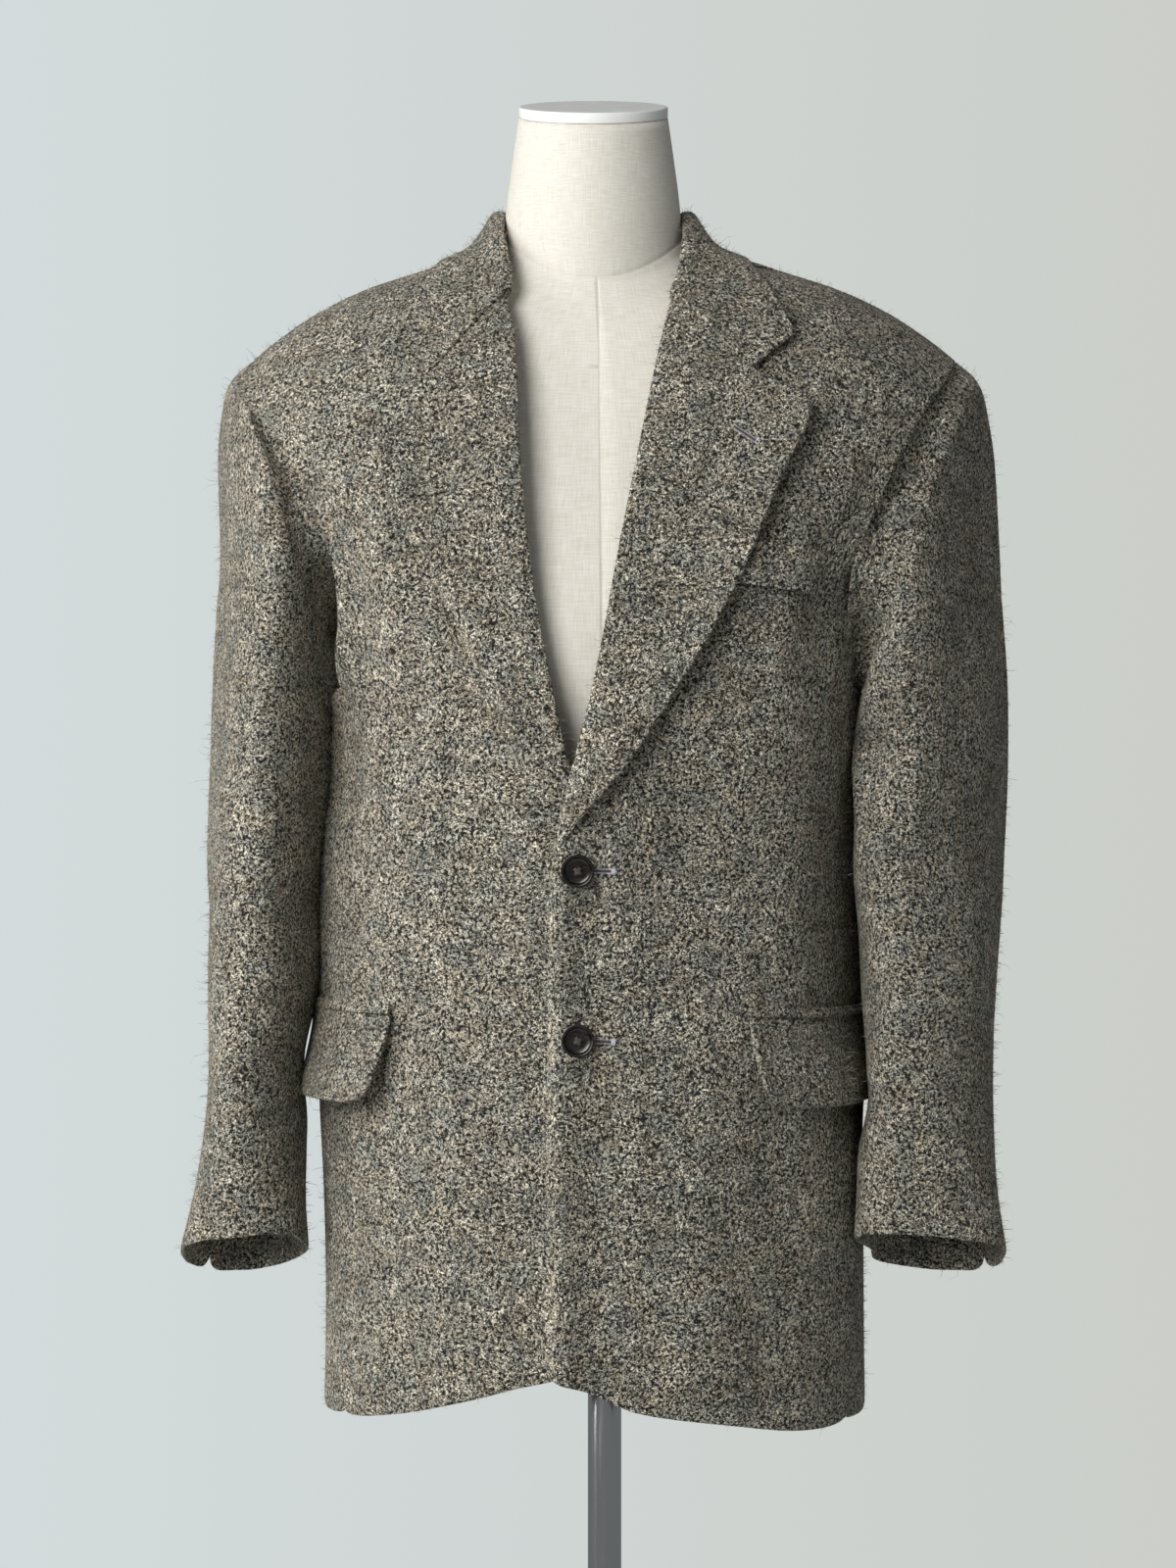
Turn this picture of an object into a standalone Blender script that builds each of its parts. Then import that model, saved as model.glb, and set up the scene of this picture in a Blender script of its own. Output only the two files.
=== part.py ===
"""A single-breasted two-button blazer on a limbless dress form with a pole stand.

Metres, +Z up. The wearer faces -Y and the wearer's left is +X. The origin is on the floor, on the pole's axis.
Every cloth piece is a wall: a flat slab of cells whose corners a surface function lays on the garment's outer
face or, one wall thickness in, on its inner face. Angles round the body run from the centre front (0 degrees)
through the side (90) to the centre back (180), on each side of the body by itself.
"""

import math

import bmesh
import bpy
from mathutils import Quaternion, Vector
from mathutils.bvhtree import BVHTree

# ---------------------------------------------------------------------------------------------- driving sizes

CLOTH = 0.0024  # tweed, turned edges pressed flat
SEAM = 0.0003  # room between two pieces at a seam
HANG_SHIFT = -0.0045  # the form, and the garment on it, sit this far off the pole's axis
LEFT, RIGHT = 1, -1  # the wearer's sides, as the sign of x

SHOULDER_TIP = {LEFT: 0.232, RIGHT: 0.224}  # where the sleeve seam crosses the shoulder
NECK_POINT = 0.078  # half the width of the neck hole at the shoulder seam
NECK_SHIFT = -0.003  # the form's neck stands this far off the pole's axis

# Sections of the body, from below the hem up to the shoulder seam. The upper ones bend over the shoulder: their
# height is z_neck at the middle and z_tip at the shoulder tip. front and back are depths from the side line,
# square is the section's exponent, and the two seams are angles: side seams below the arm, armhole above it.
BODY_COLUMNS = ("z_neck", "z_tip", "half_right", "half_left", "front", "back", "square", "front_seam", "back_seam")
BODY_ROWS = {
    "hem": (0.640, 0.640, 0.179, 0.1740, 0.150, 0.152, 2.30, 64.0, 116.0),
    "skirt": (0.760, 0.760, 0.180, 0.176, 0.150, 0.149, 2.30, 64.0, 116.0),
    "pocket": (0.880, 0.880, 0.182, 0.173, 0.147, 0.141, 2.30, 64.5, 115.5),
    "waist": (0.960, 0.960, 0.182, 0.170, 0.143, 0.134, 2.30, 65.0, 115.0),
    "ribs": (1.040, 1.040, 0.179, 0.170, 0.141, 0.134, 2.30, 66.0, 114.0),
    "armpit": (1.120, 1.120, 0.179, 0.175, 0.139, 0.139, 2.35, 66.0, 114.0),
    "chest": (1.195, 1.176, 0.194, 0.186, 0.132, 0.141, 2.60, 59.3, 115.8),
    "yoke": (1.269, 1.228, 0.212, 0.208, 0.115, 0.134, 3.00, 61.3, 113.0),
    "collarbone": (1.328, 1.272, 0.229, 0.226, 0.092, 0.118, 3.50, 63.8, 110.0),
    "slope": (1.366, 1.303, 0.2325, 0.235, 0.066, 0.093, 4.00, 68.6, 107.3),
    "shoulder": (1.389, 1.322, 0.2320, 0.238, 0.040, 0.066, 4.00, 72.9, 105.2),
    "crest": (1.401, 1.331, 0.2315, 0.240, 0.017, 0.028, 4.00, 74.8, 104.8),
    "seam": (1.404, 1.334, 0.2313, 0.240, 0.000, 0.000, 4.00, 75.6, 104.4),
}
UNDERARM_DIP = 0.012  # how far the armhole's lowest point lies below the ends of the side panel

# Soft folds of the hanging body cloth: where they run, how wide, and how far out (+) or in (-) they push it.
FOLD_COLUMNS = ("side", "angle", "lean", "z_low", "z_high", "width", "push")
FOLD_ROWS = {
    "left edge ridge": (LEFT, -9.0, 0.0, 0.62, 0.90, 4.5, 0.0020),
    "left skirt ridge": (LEFT, 23.0, -6.0, 0.60, 0.92, 9.0, 0.0030),
    "left chest hollow": (LEFT, 52.0, 18.0, 1.08, 1.30, 6.0, -0.0060),
    "left waist hollow": (LEFT, 60.0, 4.0, 0.90, 1.08, 9.0, -0.0030),
    "right chest ridge": (RIGHT, 40.0, 20.0, 1.10, 1.32, 6.0, 0.0045),
    "right chest hollow": (RIGHT, 54.0, 16.0, 1.06, 1.28, 6.0, -0.0060),
    "right skirt trough": (RIGHT, 24.0, 5.0, 0.62, 0.86, 7.0, -0.0025),
    "left back blade fold": (LEFT, 130.0, -14.0, 0.98, 1.26, 6.0, 0.0060),
    "right back blade fold": (RIGHT, 131.0, -12.0, 0.96, 1.25, 6.0, 0.0055),
    "left back skirt fold": (LEFT, 148.0, 6.0, 0.60, 0.98, 9.0, 0.0050),
    "right back skirt fold": (RIGHT, 145.0, 7.0, 0.60, 0.96, 9.0, 0.0055),
    "left side sag": (LEFT, 84.0, 0.0, 0.66, 0.90, 10.0, -0.0030),
    "right side sag": (RIGHT, 88.0, 0.0, 0.64, 0.86, 10.0, -0.0030),
}

# The fronts' inner line: x towards the wearer's own side, negative where a front passes the middle. It is the
# leading edge up to the break of the lapel, then the roll line, then the neckline under the collar.
EDGE_COLUMNS = ("z", "left", "right")
EDGE_ROWS = {
    "below hem": (0.640, -0.0300, -0.0070),
    "skirt": (0.760, -0.0315, -0.0080),
    "pocket": (0.900, -0.0320, -0.0080),
    "top button": (1.000, -0.0290, -0.0080),
    "break": (1.034, -0.0235, -0.0060),
    "crossing": (1.073, -0.0150, 0.0170),
    "low chest": (1.110, -0.0066, 0.0255),
    "chest": (1.150, 0.0020, 0.0336),
    "breast": (1.200, 0.0110, 0.0415),
    "yoke": (1.265, 0.0240, 0.0480),
    "collarbone": (1.330, 0.0375, 0.0510),
    "gorge": (1.370, 0.0480, 0.0590),
    "neckline": (1.390, 0.0610, 0.0680),
    "neck point": (1.404, 0.0780, 0.0780),
}
OVERLAP_RISE = 0.0034  # the left front stands this far out where it laps over the right one
BREAK_RISE = 0.0060  # and this much more over the right lapel's foot
BREAK_Z = 1.034

# The hem, as heights against angle. The fronts curve up to the closing edge.
HEM_COLUMNS = ("angle", "right", "left")
HEM_ROWS = {
    "past the middle": (-12.0, 0.7085, 0.7075),
    "edge": (-8.0, 0.7080, 0.7040),
    "corner": (-2.0, 0.7062, 0.6938),
    "front": (8.0, 0.7022, 0.6810),
    "front dart": (25.0, 0.6872, 0.6725),
    "front side": (48.0, 0.6715, 0.6620),
    "side front": (72.0, 0.6620, 0.6590),
    "side": (95.0, 0.6580, 0.6570),
    "back side": (130.0, 0.6540, 0.6550),
    "centre back": (180.0, 0.6520, 0.6520),
}

# Lapels: the outer edge from the break up to the tip, as x and z on the chest, and the notch's corner.
LAPEL_WALL = 0.0022
LAPEL_LIE = {LEFT: 0.0030, RIGHT: 0.0010}  # how high its back lies off the chest; the left one passes over the welt
ROLL_RADIUS = 0.0036
LAPEL_EDGE = {
    LEFT: (
        (-0.0225, 1.024), (-0.0060, 1.046), (0.0090, 1.064), (0.0420, 1.115), (0.0610, 1.150), (0.0827, 1.193),
        (0.1010, 1.239), (0.1155, 1.272), (0.1235, 1.289),
    ),
    RIGHT: (
        (-0.0040, 1.034), (0.0120, 1.042), (0.0390, 1.059), (0.0558, 1.087), (0.0790, 1.131), (0.0986, 1.175),
        (0.1168, 1.208), (0.1295, 1.254), (0.1350, 1.283),
    ),
}
LAPEL_TIP = {LEFT: (0.1225, 1.2975), RIGHT: (0.1330, 1.296)}
NOTCH = {LEFT: (0.0940, 1.3160), RIGHT: (0.1080, 1.3110)}
COLLAR_POINT = {LEFT: (0.1220, 1.3400), RIGHT: (0.1285, 1.3270)}
GORGE_Z = 1.366  # where the gorge seam meets the roll line
NOTCH_SHARE = 0.62  # how far across the lapel the notch's corner lies
GORGE_ROOM = 0.0007
FOLD_SHARE = 0.20  # the share of a lapel's columns that go round its roll
ROLL_LIFT = 0.0019  # how far the roll stands off the chest

# The collar, from the centre back to the front end on either side: its roll, the edge of its fall, and how far the
# fall swells (+) or sinks (-) between the two. The stand rises from the neckline.
COLLAR_WALL = 0.0022
COLLAR_LIE = 0.0009  # how high its back lies off the shoulders
COLLAR_COLUMNS = ("roll_x", "roll_y", "roll_z", "fall_x", "fall_y", "fall_z", "belly")
COLLAR_ROWS = {
    "centre back": (0.000, 0.0800, 1.4270, 0.0000, 0.1060, 1.3700, 0.0015),
    "back neck": (0.033, 0.0720, 1.4290, 0.0480, 0.1000, 1.3700, 0.0010),
    "side back": (0.055, 0.0460, 1.4320, 0.0800, 0.0680, 1.3820, -0.0020),
    "neck side": (0.0615, 0.0100, 1.4305, 0.0920, 0.0160, 1.3985, -0.0065),
    "side front": (0.0612, -0.0240, 1.4140, 0.0990, -0.0240, 1.3860, -0.0030),
    "gorge": (0.0560, -0.0560, 1.3830, 0.1110, -0.0500, 1.3600, -0.0010),
}

# Sleeves hang as flattened tubes: outer and inner are x, top and under the heights of those two lines, fore and
# aft are y at the front and back folds, pitch lifts the front fold over the back one, and lean brings the front
# fold in towards the body.
SLEEVE_COLUMNS = (
    "top", "under", "outer_right", "inner_right", "outer_left", "inner_left", "fore", "aft", "pitch", "lean", "square"
)
SLEEVE_ROWS = {
    "head": (1.318, 1.105, 0.2415, 0.1840, 0.2500, 0.1830, -0.090, 0.088, 0.000, 0.022, 2.2),
    "cap": (1.272, 1.082, 0.2475, 0.1760, 0.2588, 0.1740, -0.100, 0.094, 0.004, 0.026, 2.3),
    "upper arm": (1.196, 1.046, 0.2460, 0.1690, 0.2635, 0.1640, -0.106, 0.096, 0.006, 0.024, 2.5),
    "bicep": (1.110, 1.004, 0.2492, 0.1720, 0.2680, 0.1630, -0.110, 0.090, 0.006, 0.013, 2.6),
    "above elbow": (1.024, 0.960, 0.2502, 0.1770, 0.2655, 0.1680, -0.112, 0.080, 0.006, 0.004, 2.6),
    "elbow": (0.944, 0.912, 0.2498, 0.1840, 0.2580, 0.1690, -0.112, 0.068, 0.008, 0.001, 2.6),
    "forearm": (0.872, 0.862, 0.2486, 0.1895, 0.2540, 0.1630, -0.112, 0.052, 0.012, 0.000, 2.5),
    "above cuff": (0.812, 0.812, 0.2542, 0.1885, 0.2542, 0.1575, -0.112, 0.032, 0.016, 0.000, 2.4),
    "cuff": (0.757, 0.764, 0.2652, 0.1850, 0.2598, 0.1540, -0.110, 0.016, 0.0210, 0.000, 2.9),
}
FRONT_ARM_SEAM = 138.0  # degrees round the sleeve from its outer line, towards the front
BACK_ARM_SEAM = -42.0
SLEEVE_CLEAR = 0.0022  # how close the sleeve's inner line lies to the body
BACK_SQUARE = (2.1, 1.75)  # the back of the sleeve is rounder than its front, most of all at the cuff
CUFF_TRAIL = {LEFT: 0.015, RIGHT: 0.003}  # how far out the back of the cuff swings
VENT_NICK = 0.009  # the vent's corners are turned up this far at the cuff

# Pockets: angle round the body of the flap's front end, its arc and its drop.
FLAP_FRONT = {LEFT: 32.4, RIGHT: 44.3}
FLAP_SLANT = {LEFT: 0.070, RIGHT: 0.020}  # how fast the mouth drops towards the side
FLAP_LENGTH = 0.150
FLAP_DEPTH = 0.054
FLAP_WALL = 0.0022
FLAP_TOP = 0.9185
FLAP_CORNER = 0.017
FLAP_FLARE = {LEFT: 0.0035, RIGHT: 0.0110}  # how far the flap's lower edge stands off the body
JET_HEIGHT = 0.0055
JET_WALL = 0.0012
WELT = {"x": 0.0860, "z": 1.1975, "length": 0.100, "height": 0.0265, "slant": -0.14, "lean": 0.10, "wall": 0.0016}

# Buttons: four-hole horn, with a raised rim.
FRONT_BUTTON = {"radius": 0.0103, "height": 0.0042}
CUFF_BUTTON = {"radius": 0.0075, "height": 0.0032}
FRONT_BUTTON_X = -0.0122
FRONT_BUTTON_Z = (0.9050, 1.0090)
CUFF_BUTTON_Z = (0.8380, 0.8225, 0.8070, 0.7915)
CUFF_BUTTON_ANGLE = -30.0

# The form: rings from the foot of the torso up to the neck seam. z_side, z_front and z_back are a ring's heights.
FORM_COLUMNS = ("half", "front", "back", "z_side", "z_front", "z_back", "square")
FORM_ROWS = {
    "foot": (0.1500, 0.108, 0.112, 0.745, 0.745, 0.745, 2.2),
    "hip": (0.1620, 0.112, 0.122, 0.800, 0.800, 0.800, 2.2),
    "high hip": (0.1520, 0.105, 0.112, 0.890, 0.890, 0.890, 2.2),
    "waist": (0.1270, 0.096, 0.092, 0.980, 0.980, 0.980, 2.2),
    "ribs": (0.1450, 0.110, 0.106, 1.060, 1.060, 1.060, 2.25),
    "bust": (0.1600, 0.124, 0.116, 1.140, 1.140, 1.140, 2.3),
    "chest": (0.1680, 0.112, 0.120, 1.220, 1.210, 1.220, 2.4),
    "arm plate": (0.1820, 0.094, 0.110, 1.286, 1.268, 1.284, 2.4),
    "shoulder end": (0.1760, 0.084, 0.096, 1.350, 1.304, 1.320, 2.2),
    "shoulder": (0.1400, 0.076, 0.081, 1.3765, 1.330, 1.349, 2.0),
    "slope": (0.0990, 0.066, 0.066, 1.3875, 1.351, 1.367, 2.0),
    "neck root": (0.0710, 0.056, 0.0580, 1.3935, 1.369, 1.388, 2.0),
    "neck seam": (0.0587, 0.052, 0.0530, 1.4130, 1.380, 1.4120, 2.0),
}
NECK_HALF_TOP = 0.0480
NECK_TOP_Z = 1.4868
NECK_TOP_Y = -0.0220
NECK_BULGE = 0.0004
CAP_RADIUS = 0.0480
CAP_THICK = 0.0070
CAP_TILT = math.radians(15.0)  # the neck leans forward
POLE_RADIUS = 0.0110
PLATE_RADIUS, PLATE_THICK = 0.085, 0.012
BASE_RADIUS, BASE_THICK, BASE_RISE = 0.170, 0.008, 0.010
COLLAR_RING = {"radius": 0.021, "height": 0.030}


# ------------------------------------------------------------------------------------------- tables and curves


def columns_of(names, rows):
    """A table as one list for each named column."""
    return {name: [row[i] for row in rows.values()] for i, name in enumerate(names)}


def through(knots, values, at):
    """A smooth curve through the values that never swings past them, read at one place."""
    if at <= knots[0]:
        return values[0] + (at - knots[0]) * (values[1] - values[0]) / (knots[1] - knots[0])
    if at >= knots[-1]:
        return values[-1] + (at - knots[-1]) * (values[-1] - values[-2]) / (knots[-1] - knots[-2])
    i = max(j for j in range(len(knots) - 1) if knots[j] <= at)
    width = knots[i + 1] - knots[i]
    share = (at - knots[i]) / width
    start, end = slope_at(knots, values, i) * width, slope_at(knots, values, i + 1) * width
    return (
        values[i] * (1 + 2 * share) * (1 - share) ** 2
        + start * share * (1 - share) ** 2
        + values[i + 1] * share * share * (3 - 2 * share)
        + end * share * share * (share - 1)
    )


def slope_at(knots, values, i):
    """The slope at a knot, from its neighbours: flat at a peak, and gentle where the steps differ."""
    if i == 0 or i == len(knots) - 1:
        j = min(i, len(knots) - 2)
        return (values[j + 1] - values[j]) / (knots[j + 1] - knots[j])
    before = (values[i] - values[i - 1]) / (knots[i] - knots[i - 1])
    after = (values[i + 1] - values[i]) / (knots[i + 1] - knots[i])
    return 0.0 if before * after <= 0 else 2 * before * after / (before + after)


def smooth_step(share):
    share = min(max(share, 0.0), 1.0)
    return share * share * (3 - 2 * share)


def mix(a, b, share):
    return a + (b - a) * share


def steps_along(*lists):
    """Running length along a line given by its coordinates, as shares of the whole."""
    reached = [0.0]
    for here, there in zip(list(zip(*lists))[:-1], list(zip(*lists))[1:]):
        reached.append(reached[-1] + math.dist(here, there))
    return [length / reached[-1] for length in reached]


BODY = columns_of(BODY_COLUMNS, BODY_ROWS)
BODY_LEVELS = steps_along(BODY["front"], BODY["z_neck"])
FOLDS = [dict(zip(FOLD_COLUMNS, row)) for row in FOLD_ROWS.values()]
EDGE = columns_of(EDGE_COLUMNS, EDGE_ROWS)
HEM = columns_of(HEM_COLUMNS, HEM_ROWS)
SLEEVE = columns_of(SLEEVE_COLUMNS, SLEEVE_ROWS)
FORM = columns_of(FORM_COLUMNS, FORM_ROWS)
COLLAR = columns_of(COLLAR_COLUMNS, COLLAR_ROWS)
UNDERARM_LEVEL = BODY_LEVELS[list(BODY_ROWS).index("armpit")]


def body(column, level):
    return through(BODY_LEVELS, BODY[column], level)


def half_width(side, level):
    return body("half_left" if side == LEFT else "half_right", level)


# ------------------------------------------------------------------------------------------------- body shell


def slope_share(side, x):
    """How much of the shoulder's fall has happened at this x: gentle near the neck, steep at the tip."""
    out = abs(x) / SHOULDER_TIP[side]
    return 0.6 * out**2 + 0.4 * min(out, 1.1) ** 4


def height_at(side, x, level):
    z_neck = body("z_neck", level)
    return z_neck - (z_neck - body("z_tip", level)) * slope_share(side, x)


def fold_push(side, angle, z):
    push = 0.0
    for fold in FOLDS:
        if fold["side"] != side:
            continue
        share = (z - fold["z_low"]) / (fold["z_high"] - fold["z_low"])
        if not 0 < share < 1:
            continue
        off = (angle - fold["angle"] - fold["lean"] * (share - 0.5)) / fold["width"]
        push += fold["push"] * math.sin(math.pi * share) * math.exp(-off * off)
    return push


def overlap_push(side, x, z):
    """How far the left front stands out to lap over the right one and over the foot of the right lapel."""
    if side == RIGHT:
        return 0.0
    over = smooth_step((0.046 - x) / 0.036) * smooth_step((1.17 - z) / 0.08)
    return over * (OVERLAP_RISE + BREAK_RISE * math.exp(-(((z - BREAK_Z - 0.016) / 0.036) ** 2)))


def plain_shell(side, angle, level):
    """The body's outer face without folds. The angle is in degrees and the level runs from hem to shoulder seam."""
    turn = math.radians(angle)
    square = body("square", level)
    x = side * half_width(side, level) * math.sin(turn)
    depth = -body("front", level) if angle < 90 else body("back", level)
    y = depth * max(0.0, 1 - abs(math.sin(turn)) ** square) ** (1 / square)
    return Vector((x, y, height_at(side, x, level)))


def crest_normal(side, angle, level):
    """The outward direction of the plain shell, upright across the shoulder seam so that front and back meet."""
    turn, rise = 0.6, 0.004
    low, high = max(level - rise, 0.0), min(level + rise, 1.0)
    across = plain_shell(side, angle + turn, level) - plain_shell(side, angle - turn, level)
    up = plain_shell(side, angle, high) - plain_shell(side, angle, low)
    out = across.cross(up) * side
    crest = smooth_step((level - 0.965) / 0.035)
    out.y *= 1 - crest
    if crest == 1:
        slope = plain_shell(side, angle + turn, level) - plain_shell(side, angle - turn, level)
        out = Vector((abs(slope.z) * side, 0.0, abs(slope.x)))
    return out.normalized()


def shell(side, angle, level, depth=0.0):
    """A point of the body: its outer face, or depth further in."""
    point = plain_shell(side, angle, level)
    push = fold_push(side, angle, point.z)
    if angle < 90:
        push += overlap_push(side, side * point.x, point.z)
    return point + crest_normal(side, angle, level) * (push - depth)


def level_of(side, x, z):
    """The level whose height at this x is z."""
    low, high = 0.0, 1.0
    for _ in range(30):
        middle = (low + high) / 2
        if height_at(side, x, middle) < z:
            low = middle
        else:
            high = middle
    return (low + high) / 2


def angle_of(side, x, level):
    """The angle, on the front, of a point this far towards its own side."""
    return math.degrees(math.asin(max(-1.0, min(1.0, x / half_width(side, level)))))


def on_front(side, x, z, out=0.0):
    """A point on the front, found by its x and z as seen from the front, moved out from the cloth."""
    level = level_of(side, x, z)
    return shell(side, angle_of(side, x, level), level, -out)


def edge_x(side, z):
    return through(EDGE["z"], EDGE["left" if side == LEFT else "right"], z)


def hem_level(side, angle):
    z = through(HEM["angle"], HEM["left" if side == LEFT else "right"], angle)
    return level_of(side, 0.0, z)


# ---------------------------------------------------------------------------------------- meshes and materials

parts = bpy.data.collections.new("blazer on dress form")


def material(name, colour, roughness, metallic=0.0):
    made = bpy.data.materials.new(name)
    made.use_nodes = True
    shader = made.node_tree.nodes["Principled BSDF"]
    shader.inputs["Base Color"].default_value = (*colour, 1.0)
    shader.inputs["Roughness"].default_value = roughness
    shader.inputs["Metallic"].default_value = metallic
    return made


def node(name, mesh, finish):
    made = bpy.data.objects.new(name, mesh)
    parts.objects.link(made)
    mesh.materials.append(finish)
    mesh.shade_smooth()
    mesh.set_sharp_from_angle(angle=math.radians(40))
    return made


def mesh_from(name, bm):
    bmesh.ops.recalc_face_normals(bm, faces=bm.faces)
    if bm.calc_volume(signed=True) < 0:
        bmesh.ops.reverse_faces(bm, faces=bm.faces)
    mesh = bpy.data.meshes.new(name)
    bm.to_mesh(mesh)
    bm.free()
    return mesh


def slab(name, surface, across, along, wall, finish):
    """A cloth piece: a grid of cells given a second layer, each corner placed by surface(u, v, depth)."""
    bm = bmesh.new()
    bmesh.ops.create_grid(bm, x_segments=across, y_segments=along, size=0.5)
    bmesh.ops.translate(bm, verts=bm.verts, vec=(0.5, 0.5, 0.0))
    inner = bmesh.ops.extrude_face_region(bm, geom=bm.faces[:], use_keep_orig=True)
    moved = [item for item in inner["geom"] if isinstance(item, bmesh.types.BMVert)]
    bmesh.ops.translate(bm, verts=moved, vec=(0.0, 0.0, 1.0))
    for vert in bm.verts:
        u, v, layer = vert.co
        vert.co = surface(u, v, wall * layer)
    return node(name, mesh_from(name, bm), finish)


def tube(name, ring, around, along, finish):
    """A closed solid skinned over rings: ring(turn, share) for a whole turn, capped at both ends."""
    bm = bmesh.new()
    for share in (i / along for i in range(along + 1)):
        rim = [bm.verts.new(ring(math.tau * i / around, share)) for i in range(around)]
        for i in range(around):
            bm.edges.new((rim[i - 1], rim[i]))
    edges = bm.edges[:]
    for i in range(along):
        bmesh.ops.bridge_loops(bm, edges=edges[i * around : (i + 2) * around])
    bmesh.ops.holes_fill(bm, edges=edges[:around] + edges[-around:], sides=around)
    bmesh.ops.triangulate(bm, faces=[face for face in bm.faces if len(face.verts) > 4])
    return node(name, mesh_from(name, bm), finish)


def turned(name, profile, around, finish, place=(0.0, 0.0, 0.0), facing=(0.0, 0.0, 1.0)):
    """A turned solid: a profile of (radius, height) points, top to bottom on its outer side, spun by a Screw."""
    bm = bmesh.new()
    verts = [bm.verts.new((radius, 0.0, height)) for radius, height in profile]
    for first, second in zip(verts, verts[1:]):
        bm.edges.new((first, second))
    mesh = bpy.data.meshes.new(name)
    bm.to_mesh(mesh)
    bm.free()
    made = node(name, mesh, finish)
    screw = made.modifiers.new("spin", "SCREW")
    screw.steps = screw.render_steps = around
    screw.use_merge_vertices = True
    screw.merge_threshold = 0.00005
    screw.use_smooth_shade = True
    made.location = place
    made.rotation_mode = "QUATERNION"
    made.rotation_quaternion = Vector(facing).to_track_quat("Z", "Y")
    return made


# ------------------------------------------------------------------------------------------------ body panels


def row_level(bottom, top, v):
    """Few rows up to the armpit, and more above it, where the armhole and the shoulder curve."""
    if v < LOW_ROWS:
        return mix(bottom, UNDERARM_LEVEL, v / LOW_ROWS)
    return mix(UNDERARM_LEVEL, top, (v - LOW_ROWS) / (1 - LOW_ROWS))


def seam_turn(side, level):
    """Half a seam's room, as an angle."""
    return math.degrees(SEAM / 2 / half_width(side, level))


def front_panel(side):
    """Leading edge and roll line to the side seam and armhole, hem to shoulder seam."""

    def surface(u, v, depth):
        inner = front_inner_angle(side, hem_level(side, 8.0))
        bottom = hem_level(side, mix(inner, body("front_seam", 0.0), u))
        level = row_level(bottom, 1.0 - SHOULDER_ROOM, v)
        inner, outer = front_inner_angle(side, level), body("front_seam", level) - seam_turn(side, level)
        return shell(side, mix(inner, outer, u), level, depth)

    name = "front_left" if side == LEFT else "front_right"
    return slab(name, surface, 10, 22, CLOTH, TWEED)


LOW_ROWS = 0.46  # the share of a panel's rows that lie below the armpit
SHOULDER_ROOM = 0.00045  # the share of a level that the shoulder seam's room takes on each side


def front_inner_angle(side, level):
    """The front's inner line as an angle. Above the break it stops short, inside the lapel's rolled fold."""
    z = body("z_neck", level)
    tucked = (ROLL_RADIUS + 0.0018) * smooth_step((z - BREAK_Z + 0.020) / 0.03)
    tucked *= 1 - smooth_step((z - GORGE_Z) / 0.03)
    return angle_of(side, edge_x(side, z) + tucked, level)


def side_panel(side):
    """The side body, between the two side seams, up to the bottom of the armhole."""

    def surface(u, v, depth):
        front, back = body("front_seam", UNDERARM_LEVEL), body("back_seam", UNDERARM_LEVEL)
        top = underarm_level(side, mix(front, back, u))
        bottom = hem_level(side, mix(front, back, u))
        level = mix(bottom, top, v)
        room = seam_turn(side, level)
        return shell(side, mix(body("front_seam", level) + room, body("back_seam", level) - room, u), level, depth)

    name = "side_left" if side == LEFT else "side_right"
    return slab(name, surface, 6, 14, CLOTH, TWEED)


def underarm_level(side, angle):
    """The bottom of the armhole, a shallow bow between the two seams."""
    front, back = body("front_seam", UNDERARM_LEVEL), body("back_seam", UNDERARM_LEVEL)
    bow = 1 - ((2 * angle - front - back) / (back - front)) ** 2
    return level_of(side, 0.0, body("z_neck", UNDERARM_LEVEL) - UNDERARM_DIP * bow)


def neck_level(share):
    """The back neckline, from the centre back (0) to the neck point (1)."""
    return mix(BACK_NECK_LEVEL, 1.0 - SHOULDER_ROOM, share**3.5)


BACK_NECK_LEVEL = BODY_LEVELS[list(BODY_ROWS).index("shoulder")]


def back_panel(side):
    """One half of the back, from the centre seam to the side seam and armhole, hem to neckline and shoulder."""

    def surface(u, v, depth):
        neck_share = NECK_POINT / SHOULDER_TIP[side]
        top = neck_level(min(1.0, (u * 1.02) / neck_share))
        outer = body("back_seam", top)
        bottom = hem_level(side, mix(180.0, body("back_seam", 0.0), u))
        level = row_level(bottom, top, v)
        room = seam_turn(side, level)
        outer = body("back_seam", level) + room
        # Columns follow equal steps of x, because the shoulder seam does.
        x = math.sin(math.radians(outer)) * u + math.sin(math.radians(room)) * (1 - u)
        low = mix(180.0 - room, outer, u)
        angle = mix(low, 180.0 - math.degrees(math.asin(min(1.0, x))), smooth_step((level - 0.55) / 0.3))
        return shell(side, angle, level, depth)

    name = "back_left" if side == LEFT else "back_right"
    return slab(name, surface, 8, 20, CLOTH, TWEED)


# ----------------------------------------------------------------------------------------------------- sleeves


def armhole_line(side):
    """The armhole as (angle, level) pairs from the shoulder tip down the front, under the arm and up the back."""
    steps = 40
    levels = [mix(1.0 - SHOULDER_ROOM, UNDERARM_LEVEL, i / steps) for i in range(steps + 1)]
    front, back = body("front_seam", UNDERARM_LEVEL), body("back_seam", UNDERARM_LEVEL)
    under = [mix(front, back, i / steps) for i in range(1, steps)]
    return (
        [(body("front_seam", level), level) for level in levels]
        + [(angle, underarm_level(side, angle)) for angle in under]
        + [(body("back_seam", level), level) for level in reversed(levels)]
    )


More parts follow.
